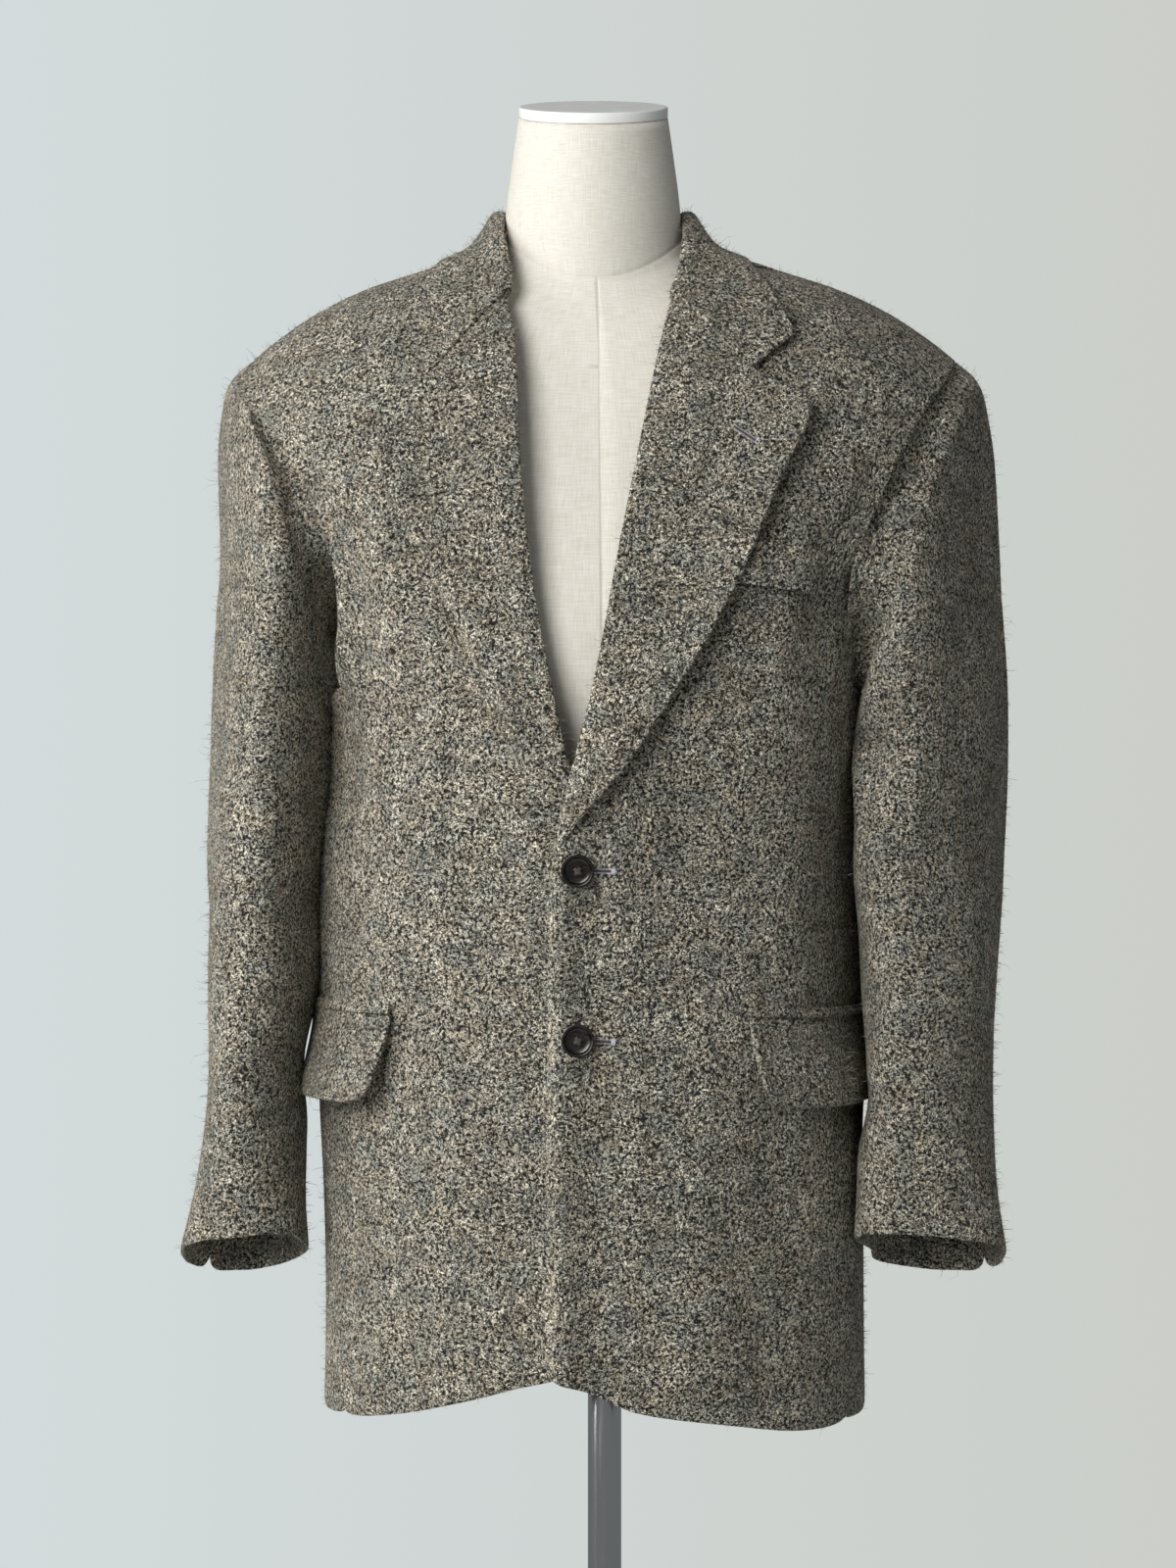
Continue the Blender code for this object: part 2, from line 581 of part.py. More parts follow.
def armhole_reader(side):
    """Reads the armhole at a share of a turn: 0 at the tip, a half under the arm, evenly along each half."""
    pairs = armhole_line(side)
    points = [shell(side, angle, level) for angle, level in pairs]
    shares = steps_along(*zip(*points))
    lowest = shares[len(shares) // 2]
    turns = [share / lowest / 2 if share < lowest else 0.5 + (share - lowest) / (1 - lowest) / 2 for share in shares]

    def at(turn):
        turn = min(max(turn, 0.0), 1.0)
        i = min(max(j for j in range(len(turns) - 1) if turns[j] <= turn), len(turns) - 2)
        share = (turn - turns[i]) / (turns[i + 1] - turns[i])
        return mix(pairs[i][0], pairs[i + 1][0], share), mix(pairs[i][1], pairs[i + 1][1], share)

    return at


def shell_sheet(side, out):
    """The body's outer face as a fine sheet, moved out, to keep what hangs beside it clear."""
    angles = [mix(-14.0, 180.0, i / 72) for i in range(73)]
    levels = [mix(0.0, 1.0, j / 72) for j in range(73)]
    points = [shell(side, angle, level, -out) for level in levels for angle in angles]
    corners = (0, 1, 74, 73)[:: 1 if side == LEFT else -1]
    cells = [[j * 73 + i + corner for corner in corners] for j in range(72) for i in range(72)]
    return BVHTree.FromPolygons(points, cells)


def body_x(side, y, z):
    """How far out the body reaches at this y and z, seen along Y."""
    level = level_of(side, 0.17, z)
    depth = body("front", level) if y < 0 else body("back", level)
    square = body("square", level)
    share = max(0.0, 1 - min(1.0, abs(y) / depth) ** square) ** (1 / square)
    flap = smooth_step((FLAP_TOP - z) / 0.02) * smooth_step((z - FLAP_TOP + FLAP_DEPTH + 0.03) / 0.02)
    return half_width(side, level) * share + SLEEVE_CLEAR + flap * (FLAP_FLARE[side] + 0.0050)


def soft_max(a, b, room):
    """The larger of two lengths, rounded over where they are close."""
    return 0.5 * (a + b + math.sqrt((a - b) ** 2 + room * room))


def sleeve_ring(side, turn, share):
    """The hanging sleeve: share 0 is the sleeve head's ring and 1 is the cuff."""
    shares = [i / (len(SLEEVE_ROWS) - 1) for i in range(len(SLEEVE_ROWS))]
    row = {name: through(shares, SLEEVE[name], share) for name in SLEEVE_COLUMNS}
    word = "left" if side == LEFT else "right"
    outer, inner = row["outer_" + word], row["inner_" + word]
    cosine, sine = math.cos(turn), math.sin(turn)
    low = smooth_step((share - 0.6) / 0.4)
    power = 2 / (row["square"] if sine > 0 else min(row["square"], mix(*BACK_SQUARE, low)))
    out = math.copysign(abs(cosine) ** power, cosine)
    fore = math.copysign(abs(sine) ** power, sine)
    x = (outer + inner) / 2 + (outer - inner) / 2 * out - row["lean"] * max(fore, 0.0)
    x -= CUFF_TRAIL[side] * low * min(fore, 0.0)
    y = (row["fore"] + row["aft"]) / 2 - (row["aft"] - row["fore"]) / 2 * fore
    z = (row["top"] + row["under"]) / 2 + (row["top"] - row["under"]) / 2 * out + row["pitch"] * fore
    if out < 0.4:
        x = mix(x, soft_max(x, body_x(side, y, z), 0.004), smooth_step((0.4 - out) / 0.4))
    return Vector((side * x, y, z))


def sleeve_surface(side):
    """The whole sleeve as surface(turn, share, depth): share 0 is the armhole seam and 1 is the cuff."""
    armhole = armhole_reader(side)
    head = 0.085  # the share of the sleeve's length in the turned-in head

    def face(turn, share):
        angle, level = armhole((turn / math.tau) % 1.0)
        seam = shell(side, angle, level)
        normal = crest_normal(side, angle, level)
        under = under_share(turn)
        start = seam - normal * (CLOTH * under) + outward(side, normal, under) * SEAM * 3
        start += Vector((0.0, 0.0, SEAM * 2.0)) * under
        if share < head:
            ring = sleeve_ring(side, turn, 0.0)
            rise = share / head
            shoulder = start + outward(side, normal, under) * (0.010 - 0.004 * under)
            shoulder += normal * 0.0012 * (1 - under)
            return mix(mix(start, shoulder, rise), mix(shoulder, ring, rise), rise)
        return sleeve_ring(side, turn, (share - head) / (1 - head))

    def surface(turn, share, depth):
        point = face(turn, share)
        if not depth:
            return point
        angle, level = armhole((turn / math.tau) % 1.0)
        under = under_share(turn)
        at_seam = mix(-crest_normal(side, angle, level), Vector((0.0, 0.0, 1.0)), under).normalized()
        small = 0.02
        around = face(turn + small, share) - face(turn - small, share)
        down = face(turn, min(share + small, 1.0)) - face(turn, max(share - small, head * 0.5))
        inward = (around.cross(down) * side).normalized()
        if inward.dot(sleeve_axis(side, share) - point) < 0:
            inward = -inward
        return point + mix(at_seam, inward, smooth_step(share / head)).normalized() * depth

    return surface


def under_share(turn):
    """1 under the arm, where the sleeve folds down against the body, and 0 on the rest of the armhole."""
    away = abs((turn / math.tau) % 1.0 - 0.5)
    return 1 - smooth_step((away - 0.06) / 0.12)


def outward(side, normal, under):
    """The way that the sleeve leaves the armhole seam: along the cloth, away from the body."""
    along = Vector((side, 0.0, 0.0)) - normal * normal.x * side * (1 - under)
    return along.normalized()


def sleeve_axis(side, share):
    """The middle of the sleeve, to tell its inside."""
    middle = [sleeve_ring(side, turn, max(share - 0.085, 0.0) / 0.915) for turn in (0.0, 1.57, 3.14, 4.71)]
    return sum(middle, Vector()) / 4


def sleeve_panel(side, name, first, last, across):
    """A sleeve piece between two seams, given as degrees round the sleeve from its outer line."""
    whole = sleeve_surface(side)
    room = math.degrees(SEAM / 2 / 0.045)

    def surface(u, v, depth):
        crowd = u**1.25 if first == BACK_ARM_SEAM else 1 - (1 - u) ** 1.25
        degrees = mix(first + room, last - room, crowd)
        back = (degrees + 180.0) % 360.0 - 180.0 - BACK_ARM_SEAM
        nick = VENT_NICK * max(0.0, 1 - abs(back) / 9.0) ** 1.5
        share = v**1.3 * (1 - nick / 0.55)
        return whole(math.radians(degrees), share, depth)

    word = "_left" if side == LEFT else "_right"
    return slab(name + word, surface, across, 18, CLOTH, TWEED)


# ---------------------------------------------------------------------------------------------------- lapels


def roll_point(side, z, toward, angle, depth, lift):
    """A point of the rolled fold at this height: 0 degrees is nearest the middle and 90 on top of the roll."""
    radius, turn = ROLL_RADIUS - depth, math.radians(angle)
    place = Vector((edge_x(side, z), z)) + toward * (ROLL_RADIUS - radius * math.cos(turn))
    return on_front(side, place.x, place.y, lift + radius * math.sin(turn))


def lapel_surface(side, room):
    """The turned-back front, rolled over the front's inner line and cut off at room below the gorge seam."""
    edge = LAPEL_EDGE[side] + (LAPEL_TIP[side],)
    shares = steps_along(*zip(*edge))
    foot_z, top, tip = edge[0][1], GORGE_Z - room, Vector(LAPEL_TIP[side])
    gorge = Vector((edge_x(side, top), top))
    notch = Vector(NOTCH[side]) + (tip - Vector(NOTCH[side])).normalized() * room
    bend = notch - gorge.lerp(tip, NOTCH_SHARE)

    def on_chest(share, v):
        z = mix(foot_z, top, v)
        roll = Vector((edge_x(side, z), z))
        rim = Vector((through(shares, [p[0] for p in edge], v), through(shares, [p[1] for p in edge], v)))
        tent = min(share / NOTCH_SHARE, (1 - share) / (1 - NOTCH_SHARE))
        return roll.lerp(rim, share) + bend * tent * smooth_step((v - 0.84) / 0.16), roll, rim

    def surface(u, v, depth):
        _, roll, rim = on_chest(0.5, v)
        width = max((rim - roll).length, ROLL_RADIUS * 1.5)
        full = smooth_step(v / 0.16)
        if u < FOLD_SHARE:
            toward = (on_chest(ROLL_RADIUS / width, v)[0] - roll).normalized()
            angle = mix(mix(10, -50, full), 90, u / FOLD_SHARE)
            return roll_point(side, roll.y, toward, angle, depth, ROLL_LIFT * full)
        across = (u - FOLD_SHARE) / (1 - FOLD_SHARE)
        lie = LAPEL_WALL + LAPEL_LIE[side] + 0.0023 * full * (1 - smooth_step(across * 1.6))
        height = mix(ROLL_LIFT * full + ROLL_RADIUS, lie, smooth_step(across / 0.45)) - depth
        place, _, _ = on_chest(mix(ROLL_RADIUS / width, 1.0, across), v)
        return on_front(side, place.x, place.y, height)

    return surface


def lapel(side):
    name = "lapel_left" if side == LEFT else "lapel_right"
    return slab(name, lapel_surface(side, GORGE_ROOM), 9, 18, LAPEL_WALL, TWEED)


# ---------------------------------------------------------------------------------------------------- collar


def neckline(side, share):
    """Where the collar's stand starts: round the back of the neck, then down the front to the gorge."""
    if share < 0.55:
        level = neck_level(share / 0.55)
        x = NECK_POINT * share / 0.55
        angle = 180.0 - math.degrees(math.asin(x / half_width(side, level)))
    else:
        z = mix(body("z_neck", 1.0 - SHOULDER_ROOM), GORGE_Z, (share - 0.55) / 0.45)
        level = level_of(side, 0.0, z)
        angle = angle_of(side, edge_x(side, z), level)
    return shell(side, angle, level, -SEAM * 2) + Vector((0.0, 0.0, SEAM * 2))


def collar():
    """One piece from notch to notch: a stand that rises round the neck, a roll and a fall over the shoulders."""
    sheets = {side: shell_sheet(side, 0.0) for side in (LEFT, RIGHT)}
    lapels = {side: lapel_surface(side, 0.0) for side in (LEFT, RIGHT)}
    knots = [i / len(COLLAR_ROWS) for i in range(len(COLLAR_ROWS) + 1)]

    def station(side, share):
        """Roll, base, fall edge and belly at a share of the way from the centre back to the front end."""
        ends = {
            "roll": lapels[side](FOLD_SHARE * 0.7, 1.0, 0.0),
            "fall": on_front(side, *COLLAR_POINT[side], COLLAR_WALL + COLLAR_LIE),
        }
        shift = Vector((NECK_SHIFT * (1 - share**6), 0.0, 0.0))
        places = {}
        for line, end in ends.items():
            columns = [[side * x for x in COLLAR[line + "_x"]], COLLAR[line + "_y"], COLLAR[line + "_z"]]
            place = [through(knots, column + [last], share) for column, last in zip(columns, end)]
            places[line] = Vector(place) + shift
        belly = through(knots, COLLAR["belly"] + [0.0], share)
        return places["roll"], neckline(side, share), on_sheet(places["fall"], side), belly

    def on_sheet(point, side):
        near, normal, _, _ = sheets[side].find_nearest(point)
        return near + normal * (COLLAR_WALL + COLLAR_LIE)

    def lifted(point, side):
        """The point, raised where it would lie too close to the shoulders."""
        near, normal, _, _ = sheets[side].find_nearest(point)
        return point + normal * max(0.0, COLLAR_WALL + COLLAR_LIE - (point - near).dot(normal))

    def gorge_end(side, u):
        """The collar's end: round the roll and along the gorge as the lapel goes, then up to the collar's point."""
        corner = 0.5 + 0.5 * NOTCH_SHARE
        if u < 0.5:
            return lapels[side](FOLD_SHARE * 2 * u, 1.0, 0.0)
        if u < corner:
            return lapels[side](mix(FOLD_SHARE, mix(FOLD_SHARE, 1.0, NOTCH_SHARE), (u - 0.5) / (corner - 0.5)), 1.0, 0.0)
        away = (u - corner) / (1 - corner)
        place = Vector(NOTCH[side]).lerp(Vector(COLLAR_POINT[side]), away)
        return on_front(side, place.x, place.y, COLLAR_WALL + mix(LAPEL_LIE[side], COLLAR_LIE, away))

    def face(u, v):
        side = LEFT if v > 0.5 else RIGHT
        share = abs(2 * v - 1)
        roll, base, fall, sag = station(side, share)
        away = ((fall - base) * Vector((1, 1, 0))).normalized() * 0.0031
        inner, outer = roll - away - Vector((0, 0, 0.0020)), roll + away - Vector((0, 0, 0.0022))
        belly = outer.lerp(fall, 0.5) + Vector((0.0, 0.0, sag))
        path = [base, base.lerp(inner, 0.55), inner, roll, outer, belly, fall]
        knot = [0.0, 0.17, 0.34, 0.42, 0.50, 0.76, 1.0]
        point = Vector([through(knot, [p[k] for p in path], u) for k in range(3)])
        point = point if u < 0.55 else lifted(point, side)
        return point.lerp(gorge_end(side, u), smooth_step((share - 0.84) / 0.16))

    def surface(u, v, depth):
        point = face(u, v)
        if not depth:
            return point
        small = 0.01
        along = face(u, min(v + small, 1.0)) - face(u, max(v - small, 0.0))
        over = face(min(u + small, 1.0), v) - face(max(u - small, 0.0), v)
        return point - over.cross(along).normalized() * depth

    return slab("collar", surface, 11, 26, COLLAR_WALL, TWEED)


# --------------------------------------------------------------------------------------------------- pockets


def flap(side):
    """A pocket flap with a rounded front corner, hung from its jetting and following the body round."""
    centre = FLAP_FRONT[side]

    def surface(u, v, depth):
        level = level_of(side, 0.0, FLAP_TOP)
        turn = math.degrees(FLAP_LENGTH / (half_width(side, level) * 0.93))
        share = (1 - math.cos(math.pi * u)) / 2
        angle, reach = mix(centre, centre + turn, share), share * FLAP_LENGTH
        top = FLAP_TOP - FLAP_SLANT[side] * reach
        rounded = FLAP_CORNER - min(reach, FLAP_LENGTH - reach, FLAP_CORNER)
        cut = FLAP_CORNER - math.sqrt(max(0.0, FLAP_CORNER**2 - rounded**2))
        drop = v * (FLAP_DEPTH - cut)
        out = FLAP_WALL + 0.0006 + FLAP_FLARE[side] * (drop / FLAP_DEPTH) ** 1.5
        return shell(side, angle, level_of(side, 0.0, top - drop), depth - out)

    name = "flap_left" if side == LEFT else "flap_right"
    return slab(name, surface, 14, 5, FLAP_WALL, TWEED)


def jet(side):
    """The narrow piping that edges the pocket's mouth, above the flap."""

    def surface(u, v, depth):
        level = level_of(side, 0.0, FLAP_TOP)
        turn = math.degrees((FLAP_LENGTH + 0.004) / (half_width(side, level) * 0.93))
        angle = mix(FLAP_FRONT[side] - 0.7, FLAP_FRONT[side] - 0.7 + turn, u)
        z = FLAP_TOP - FLAP_SLANT[side] * (FLAP_LENGTH + 0.004) * u + SEAM + v * JET_HEIGHT
        out = JET_WALL + 0.0004 + 0.0008 * math.sin(math.pi * v)
        return shell(side, angle, level_of(side, 0.0, z), depth - out)

    name = "jet_left" if side == LEFT else "jet_right"
    return slab(name, surface, 12, 2, JET_WALL, TWEED)


def breast_welt():
    """The welt of the breast pocket, on the wearer's left, partly under the lapel."""

    def surface(u, v, depth):
        along = (u - 0.5) * WELT["length"]
        up = (v - 0.5) * WELT["height"]
        z = WELT["z"] + WELT["slant"] * along + up
        return on_front(LEFT, WELT["x"] + along + WELT["lean"] * up, z, WELT["wall"] + 0.0008 - depth)

    return slab("breast_welt", surface, 8, 3, WELT["wall"], TWEED)


# --------------------------------------------------------------------------------------------------- buttons


def button_profile(radius, height):
    """A shallow dish inside a rounded rim, flat behind."""
    rim = height * 0.32
    return [
        (0.0, height * 0.62),
        (radius * 0.52, height * 0.62),
        (radius * 0.66, height * 0.90),
        (radius * 0.80, height),
        (radius - rim * 0.5, height * 0.86),
        (radius, height * 0.50),
        (radius * 0.90, height * 0.12),
        (radius * 0.66, 0.0),
        (0.0, 0.0),
    ]


def seated(piece, spot, way, radius):
    """A place and a facing on the finished piece, a seam's room above the highest cloth under a disc there."""
    bm = bmesh.new()
    bm.from_mesh(piece.data)
    cloth = BVHTree.FromBMesh(bm)
    bm.free()
    hit, normal, _, _ = cloth.ray_cast(spot + way * 0.02, -way)
    aside = normal.orthogonal().normalized() * radius
    rise = 0.0
    for turn in (math.tau * i / 12 for i in range(12)):
        above = hit + Quaternion(normal, turn) @ aside + normal * 0.02
        under, _, _, _ = cloth.ray_cast(above, -normal)
        rise = max(rise, (under - hit).dot(normal))
    return hit + normal * (rise + SEAM), normal


def front_buttons(front):
    for name, z in zip(("button_lower", "button_upper"), FRONT_BUTTON_Z):
        spot = on_front(LEFT, FRONT_BUTTON_X, z)
        way = (on_front(LEFT, FRONT_BUTTON_X, z, 0.01) - spot).normalized()
        place, facing = seated(front, spot, way, FRONT_BUTTON["radius"])
        turned(name, button_profile(**FRONT_BUTTON), 24, HORN, place, facing)


def cuff_buttons(side, sleeve):
    whole = sleeve_surface(side)
    word = "left" if side == LEFT else "right"
    turn = math.radians(CUFF_BUTTON_ANGLE)
    for number, z in enumerate(CUFF_BUTTON_Z, 1):
        low, high = 0.5, 1.0
        for _ in range(24):
            middle = (low + high) / 2
            if whole(turn, middle, 0.0).z > z:
                low = middle
            else:
                high = middle
        spot = whole(turn, low, 0.0)
        way = (spot - whole(turn, low, 0.001)).normalized()
        place, facing = seated(sleeve, spot, way, CUFF_BUTTON["radius"])
        turned(f"cuff_button_{word}_{number}", button_profile(**CUFF_BUTTON), 12, HORN, place, facing)


# ------------------------------------------------------------------------------------------ dress form and stand


def form_ring(turn, share):
    """The padded torso, as rings that bend over the shoulders up to the neck seam."""
    knots = [i / (len(FORM_ROWS) - 1) for i in range(len(FORM_ROWS))]
    row = {name: through(knots, FORM[name], share) for name in FORM_COLUMNS}
    sine, cosine = math.sin(turn), math.cos(turn)
    power = 2 / row["square"]
    x = row["half"] * math.copysign(abs(sine) ** power, sine)
    reach, z_end = (row["front"], row["z_front"]) if cosine > 0 else (row["back"], row["z_back"])
    y = -reach * math.copysign(abs(cosine) ** power, cosine)
    z = row["z_side"] + (z_end - row["z_side"]) * abs(cosine) ** 1.6
    return Vector((x + NECK_SHIFT * smooth_step((share - 0.7) / 0.3), y, z))


def neck_ring(turn, share):
    """The neck, from just above the neck seam to the tilted plane under the cap."""
    foot = form_ring(turn, 1.0) + Vector((0.0, 0.0, SEAM))
    out = Vector((math.sin(turn), -math.cos(turn), 0.0))
    level = Vector((out.x, out.y * math.cos(CAP_TILT), out.y * math.sin(CAP_TILT)))
    top = Vector((NECK_SHIFT, NECK_TOP_Y, NECK_TOP_Z)) + level * NECK_HALF_TOP
    point = foot.lerp(top, share)
    return point + out * NECK_BULGE * math.sin(math.pi * share) ** 0.8


def form():
    tube("form_torso", form_ring, 28, 20, LINEN)
    tube("form_neck", neck_ring, 28, 4, LINEN)
    lean = Vector((0.0, -math.sin(CAP_TILT), math.cos(CAP_TILT)))
    seat = Vector((NECK_SHIFT, NECK_TOP_Y, NECK_TOP_Z)) + lean * SEAM
    rim = 0.0012
    cap = [
        (0.0, CAP_THICK),
        (CAP_RADIUS - rim, CAP_THICK),
        (CAP_RADIUS, CAP_THICK - rim),
        (CAP_RADIUS, rim * 0.5),
        (CAP_RADIUS - rim * 0.5, 0.0),
        (0.0, 0.0),
    ]
    turned("neck_cap", cap, 28, WHITE_LACQUER, seat, lean)


def stand():
    foot_z = FORM["z_side"][0]
    plate_low = foot_z - SEAM - PLATE_THICK
    plate = [(0.0, PLATE_THICK), (PLATE_RADIUS, PLATE_THICK), (PLATE_RADIUS, 0.0), (0.0, 0.0)]
    turned("form_plate", plate, 32, CHROME, (0.0, 0.0, plate_low))
    base = [
        (0.0, BASE_THICK + BASE_RISE),
        (COLLAR_RING["radius"] + 0.004, BASE_THICK + BASE_RISE),
        (BASE_RADIUS * 0.45, BASE_THICK + BASE_RISE * 0.55),
        (BASE_RADIUS * 0.8, BASE_THICK + BASE_RISE * 0.12),
        (BASE_RADIUS - 0.003, BASE_THICK),
        (BASE_RADIUS, BASE_THICK - 0.003),
        (BASE_RADIUS, 0.0),
        (0.0, 0.0),
    ]
    turned("stand_base", base, 40, CHROME)
    top = BASE_THICK + BASE_RISE + SEAM
    pole_top = plate_low - SEAM
    pole = [(0.0, pole_top), (POLE_RADIUS, pole_top), (POLE_RADIUS, top), (0.0, top)]
    turned("stand_pole", pole, 24, CHROME)
    inner, outer, tall = POLE_RADIUS + SEAM, COLLAR_RING["radius"], COLLAR_RING["height"]
    ring = [
        (inner, top + tall),
        (outer - 0.006, top + tall),
        (outer - 0.003, top + tall - 0.004),
        (outer, top + 0.006),
        (outer, top),
        (inner, top),
        (inner, top + tall),
    ]
    turned("pole_socket", ring, 24, CHROME)


# ------------------------------------------------------------------------------------------------------ build

for old in list(bpy.data.objects):
    bpy.data.objects.remove(old)
bpy.context.scene.collection.children.link(parts)

TWEED = material("grey brown tweed", (0.105, 0.098, 0.085), 0.95)
HORN = material("dark horn", (0.012, 0.010, 0.009), 0.25)
LINEN = material("cream linen", (0.72, 0.68, 0.60), 0.85)
WHITE_LACQUER = material("white lacquer", (0.80, 0.80, 0.77), 0.35)
CHROME = material("chrome plate", (0.60, 0.60, 0.61), 0.12, 1.0)

for worn in (LEFT, RIGHT):
    front = front_panel(worn)
    side_panel(worn)
    back_panel(worn)
    sleeve = sleeve_panel(worn, "sleeve_top", BACK_ARM_SEAM, FRONT_ARM_SEAM, 13)
    sleeve_panel(worn, "sleeve_under", FRONT_ARM_SEAM, BACK_ARM_SEAM + 360.0, 10)
    lapel(worn)
    flap(worn)
    jet(worn)
    cuff_buttons(worn, sleeve)
    if worn == LEFT:
        front_buttons(front)
collar()
breast_welt()
form()
for piece in parts.objects:
    piece.location.x += HANG_SHIFT
stand()
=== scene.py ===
import math
import random

import bmesh
import bpy
import numpy as np
from mathutils import Matrix, Quaternion, Vector
from mathutils.bvhtree import BVHTree


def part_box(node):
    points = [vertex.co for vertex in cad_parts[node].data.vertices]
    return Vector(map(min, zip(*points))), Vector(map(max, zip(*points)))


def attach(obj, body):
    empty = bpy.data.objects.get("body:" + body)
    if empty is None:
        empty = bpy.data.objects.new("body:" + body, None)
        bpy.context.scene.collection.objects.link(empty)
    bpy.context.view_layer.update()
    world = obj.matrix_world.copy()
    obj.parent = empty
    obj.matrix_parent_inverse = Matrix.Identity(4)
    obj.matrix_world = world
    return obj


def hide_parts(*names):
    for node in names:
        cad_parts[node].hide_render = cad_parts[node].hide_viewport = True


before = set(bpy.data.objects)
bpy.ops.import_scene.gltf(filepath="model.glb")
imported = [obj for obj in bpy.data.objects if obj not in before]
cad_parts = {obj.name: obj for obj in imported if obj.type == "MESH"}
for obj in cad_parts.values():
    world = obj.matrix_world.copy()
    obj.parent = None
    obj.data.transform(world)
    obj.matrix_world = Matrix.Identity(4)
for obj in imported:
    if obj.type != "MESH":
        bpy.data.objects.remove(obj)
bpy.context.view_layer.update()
bpy.ops.object.select_all(action="DESELECT")

# ---- the viewpoint
# A long lens at chest height, a little over two metres in front of the form,
# tipped slightly down. It has no shift and no depth of field.


def lay_out(data):
    """An object in the scene for a camera, a light or a mesh, with its name."""
    made = bpy.data.objects.new(data.name, data)
    bpy.context.scene.collection.objects.link(made)
    return made


lens = bpy.data.cameras.new("chest_height_camera")
lens.lens = 73.8
lens.clip_start = 0.1
camera = lay_out(lens)
camera.location = (-0.0109, -2.1, 1.109)
camera.rotation_euler = (math.radians(90 - 1.4), 0, 0)
bpy.context.scene.camera = camera
bpy.context.scene.view_settings.view_transform = "Standard"

# ---- the room
# A pale painted room in daylight. One wide window stands far to the left and another
# in front on the left, and the white walls send back a soft light from all round.


def paint(hex_colour):
    """A colour chosen as sRGB hex, as the linear one that shaders take."""
    parts = [int(hex_colour[i : i + 2], 16) / 255 for i in (1, 3, 5)]
    linear = [p / 12.92 if p <= 0.04045 else ((p + 0.055) / 1.055) ** 2.4 for p in parts]
    return (*linear, 1.0)


def add_node(tree, kind, settings=None, out=0, **sockets):
    """Adds one node, or takes one that is there. Settings are its properties, sockets what its inputs get."""
    made = tree.nodes.new("ShaderNode" + kind) if isinstance(kind, str) else kind
    for name, value in (settings or {}).items():
        setattr(made, name, value)
    for name, value in sockets.items():
        place = made.inputs[int(name[1:]) if name[1:].isdigit() else name.replace("_", " ")]
        if isinstance(value, bpy.types.NodeSocket):
            tree.links.new(value, place)
        else:
            place.default_value = paint(value) if isinstance(value, str) else value
    return made.outputs[out] if made.outputs else None


def new_finish(name):
    """A new material, its nodes and its shader."""
    made = bpy.data.materials.new(name)
    made.use_nodes = True
    return made, made.node_tree, made.node_tree.nodes["Principled BSDF"]


RGBA = {"data_type": "RGBA"}  # for a Mix of two colours: its share is input 0, the colours 6 and 7, output 2
room = bpy.data.worlds.new("pale_room")
room.use_nodes = True
air = room.node_tree
air.nodes.clear()
way = add_node(air, "TexCoord", out="Generated")
apart = add_node(air, "SeparateXYZ", Vector=way).node.outputs
# The wall seen behind is painted light: lighter and cooler on the left, where the window's light falls on it, and
# darker to the right.
across = add_node(air, "MapRange", Value=apart["X"], From_Min=-0.18, From_Max=0.18)
wall_tone_with_painted_light = add_node(air, "Mix", RGBA, 2, _0=across, _6="#D3DBDC", _7="#CBCEC9")
seen_wall = add_node(air, "Background", Color=wall_tone_with_painted_light, Strength=1.0)
# The room's own light is stronger from the ceiling than from the floor.
upward = add_node(air, "MapRange", Value=apart["Z"], From_Min=-1.0, From_Max=0.6, To_Min=0.18, To_Max=0.2268)
lit_room = add_node(air, "Background", Color=(0.98, 1.0, 1.02, 1), Strength=upward)
straight = add_node(air, "LightPath", out="Is Camera Ray")
both = add_node(air, "MixShader", _0=straight, _1=lit_room, _2=seen_wall)
add_node(air, "OutputWorld", Surface=both)
bpy.context.scene.world = room

# Each light: where it stands, what it faces, its width, its power and its tint.
LIGHTS = {
    "side_window": ((-2.9, -0.8, 1.75), (0, 0, 1.1), 1.6, 43.0, (1.0, 0.985, 0.955)),
    "front_window": ((-1.1, -1.9, 1.85), (0, 0, 1.1), 1.2, 50.0, (1.0, 0.99, 0.97)),
}
PANE_SHAPE = 1.2  # the height of a window over its width
for name, (place, aim, width, power, tint) in LIGHTS.items():
    pane = bpy.data.lights.new(name, "AREA")
    pane.shape = "RECTANGLE"
    pane.size = width
    pane.size_y = width * PANE_SHAPE
    pane.energy = power
    pane.color = tint
    window = lay_out(pane)
    window.location = place
    window.rotation_mode = "QUATERNION"
    window.rotation_quaternion = (Vector(place) - Vector(aim)).to_track_quat("Z", "Y")

bpy.ops.mesh.primitive_circle_add(vertices=96, radius=1.85, fill_type="NGON", location=(0, 0, -0.0005))
floor = bpy.context.object
floor.name = "floor"
floor_paint, coats, matt = new_finish("matt_floor_paint")
add_node(coats, matt, Base_Color="#D9DCDB", Roughness=0.8)
floor.data.materials.append(floor_paint)

# ---- the stand
# A polished chrome floor stand: a weighted round base, spun from steel plate, with a
# turned socket, a plain tube and a round plate that the form is screwed to.


def begin():
    """Leaves nothing selected, so that the next tool acts on the new piece alone."""
    if bpy.context.object and bpy.context.object.mode != "OBJECT":
        bpy.ops.object.mode_set(mode="OBJECT")
    bpy.ops.object.select_all(action="DESELECT")


def pick(piece):
    """Selects one piece alone, for the next tool to act on."""
    begin()
    piece.select_set(True)
    bpy.context.view_layer.objects.active = piece


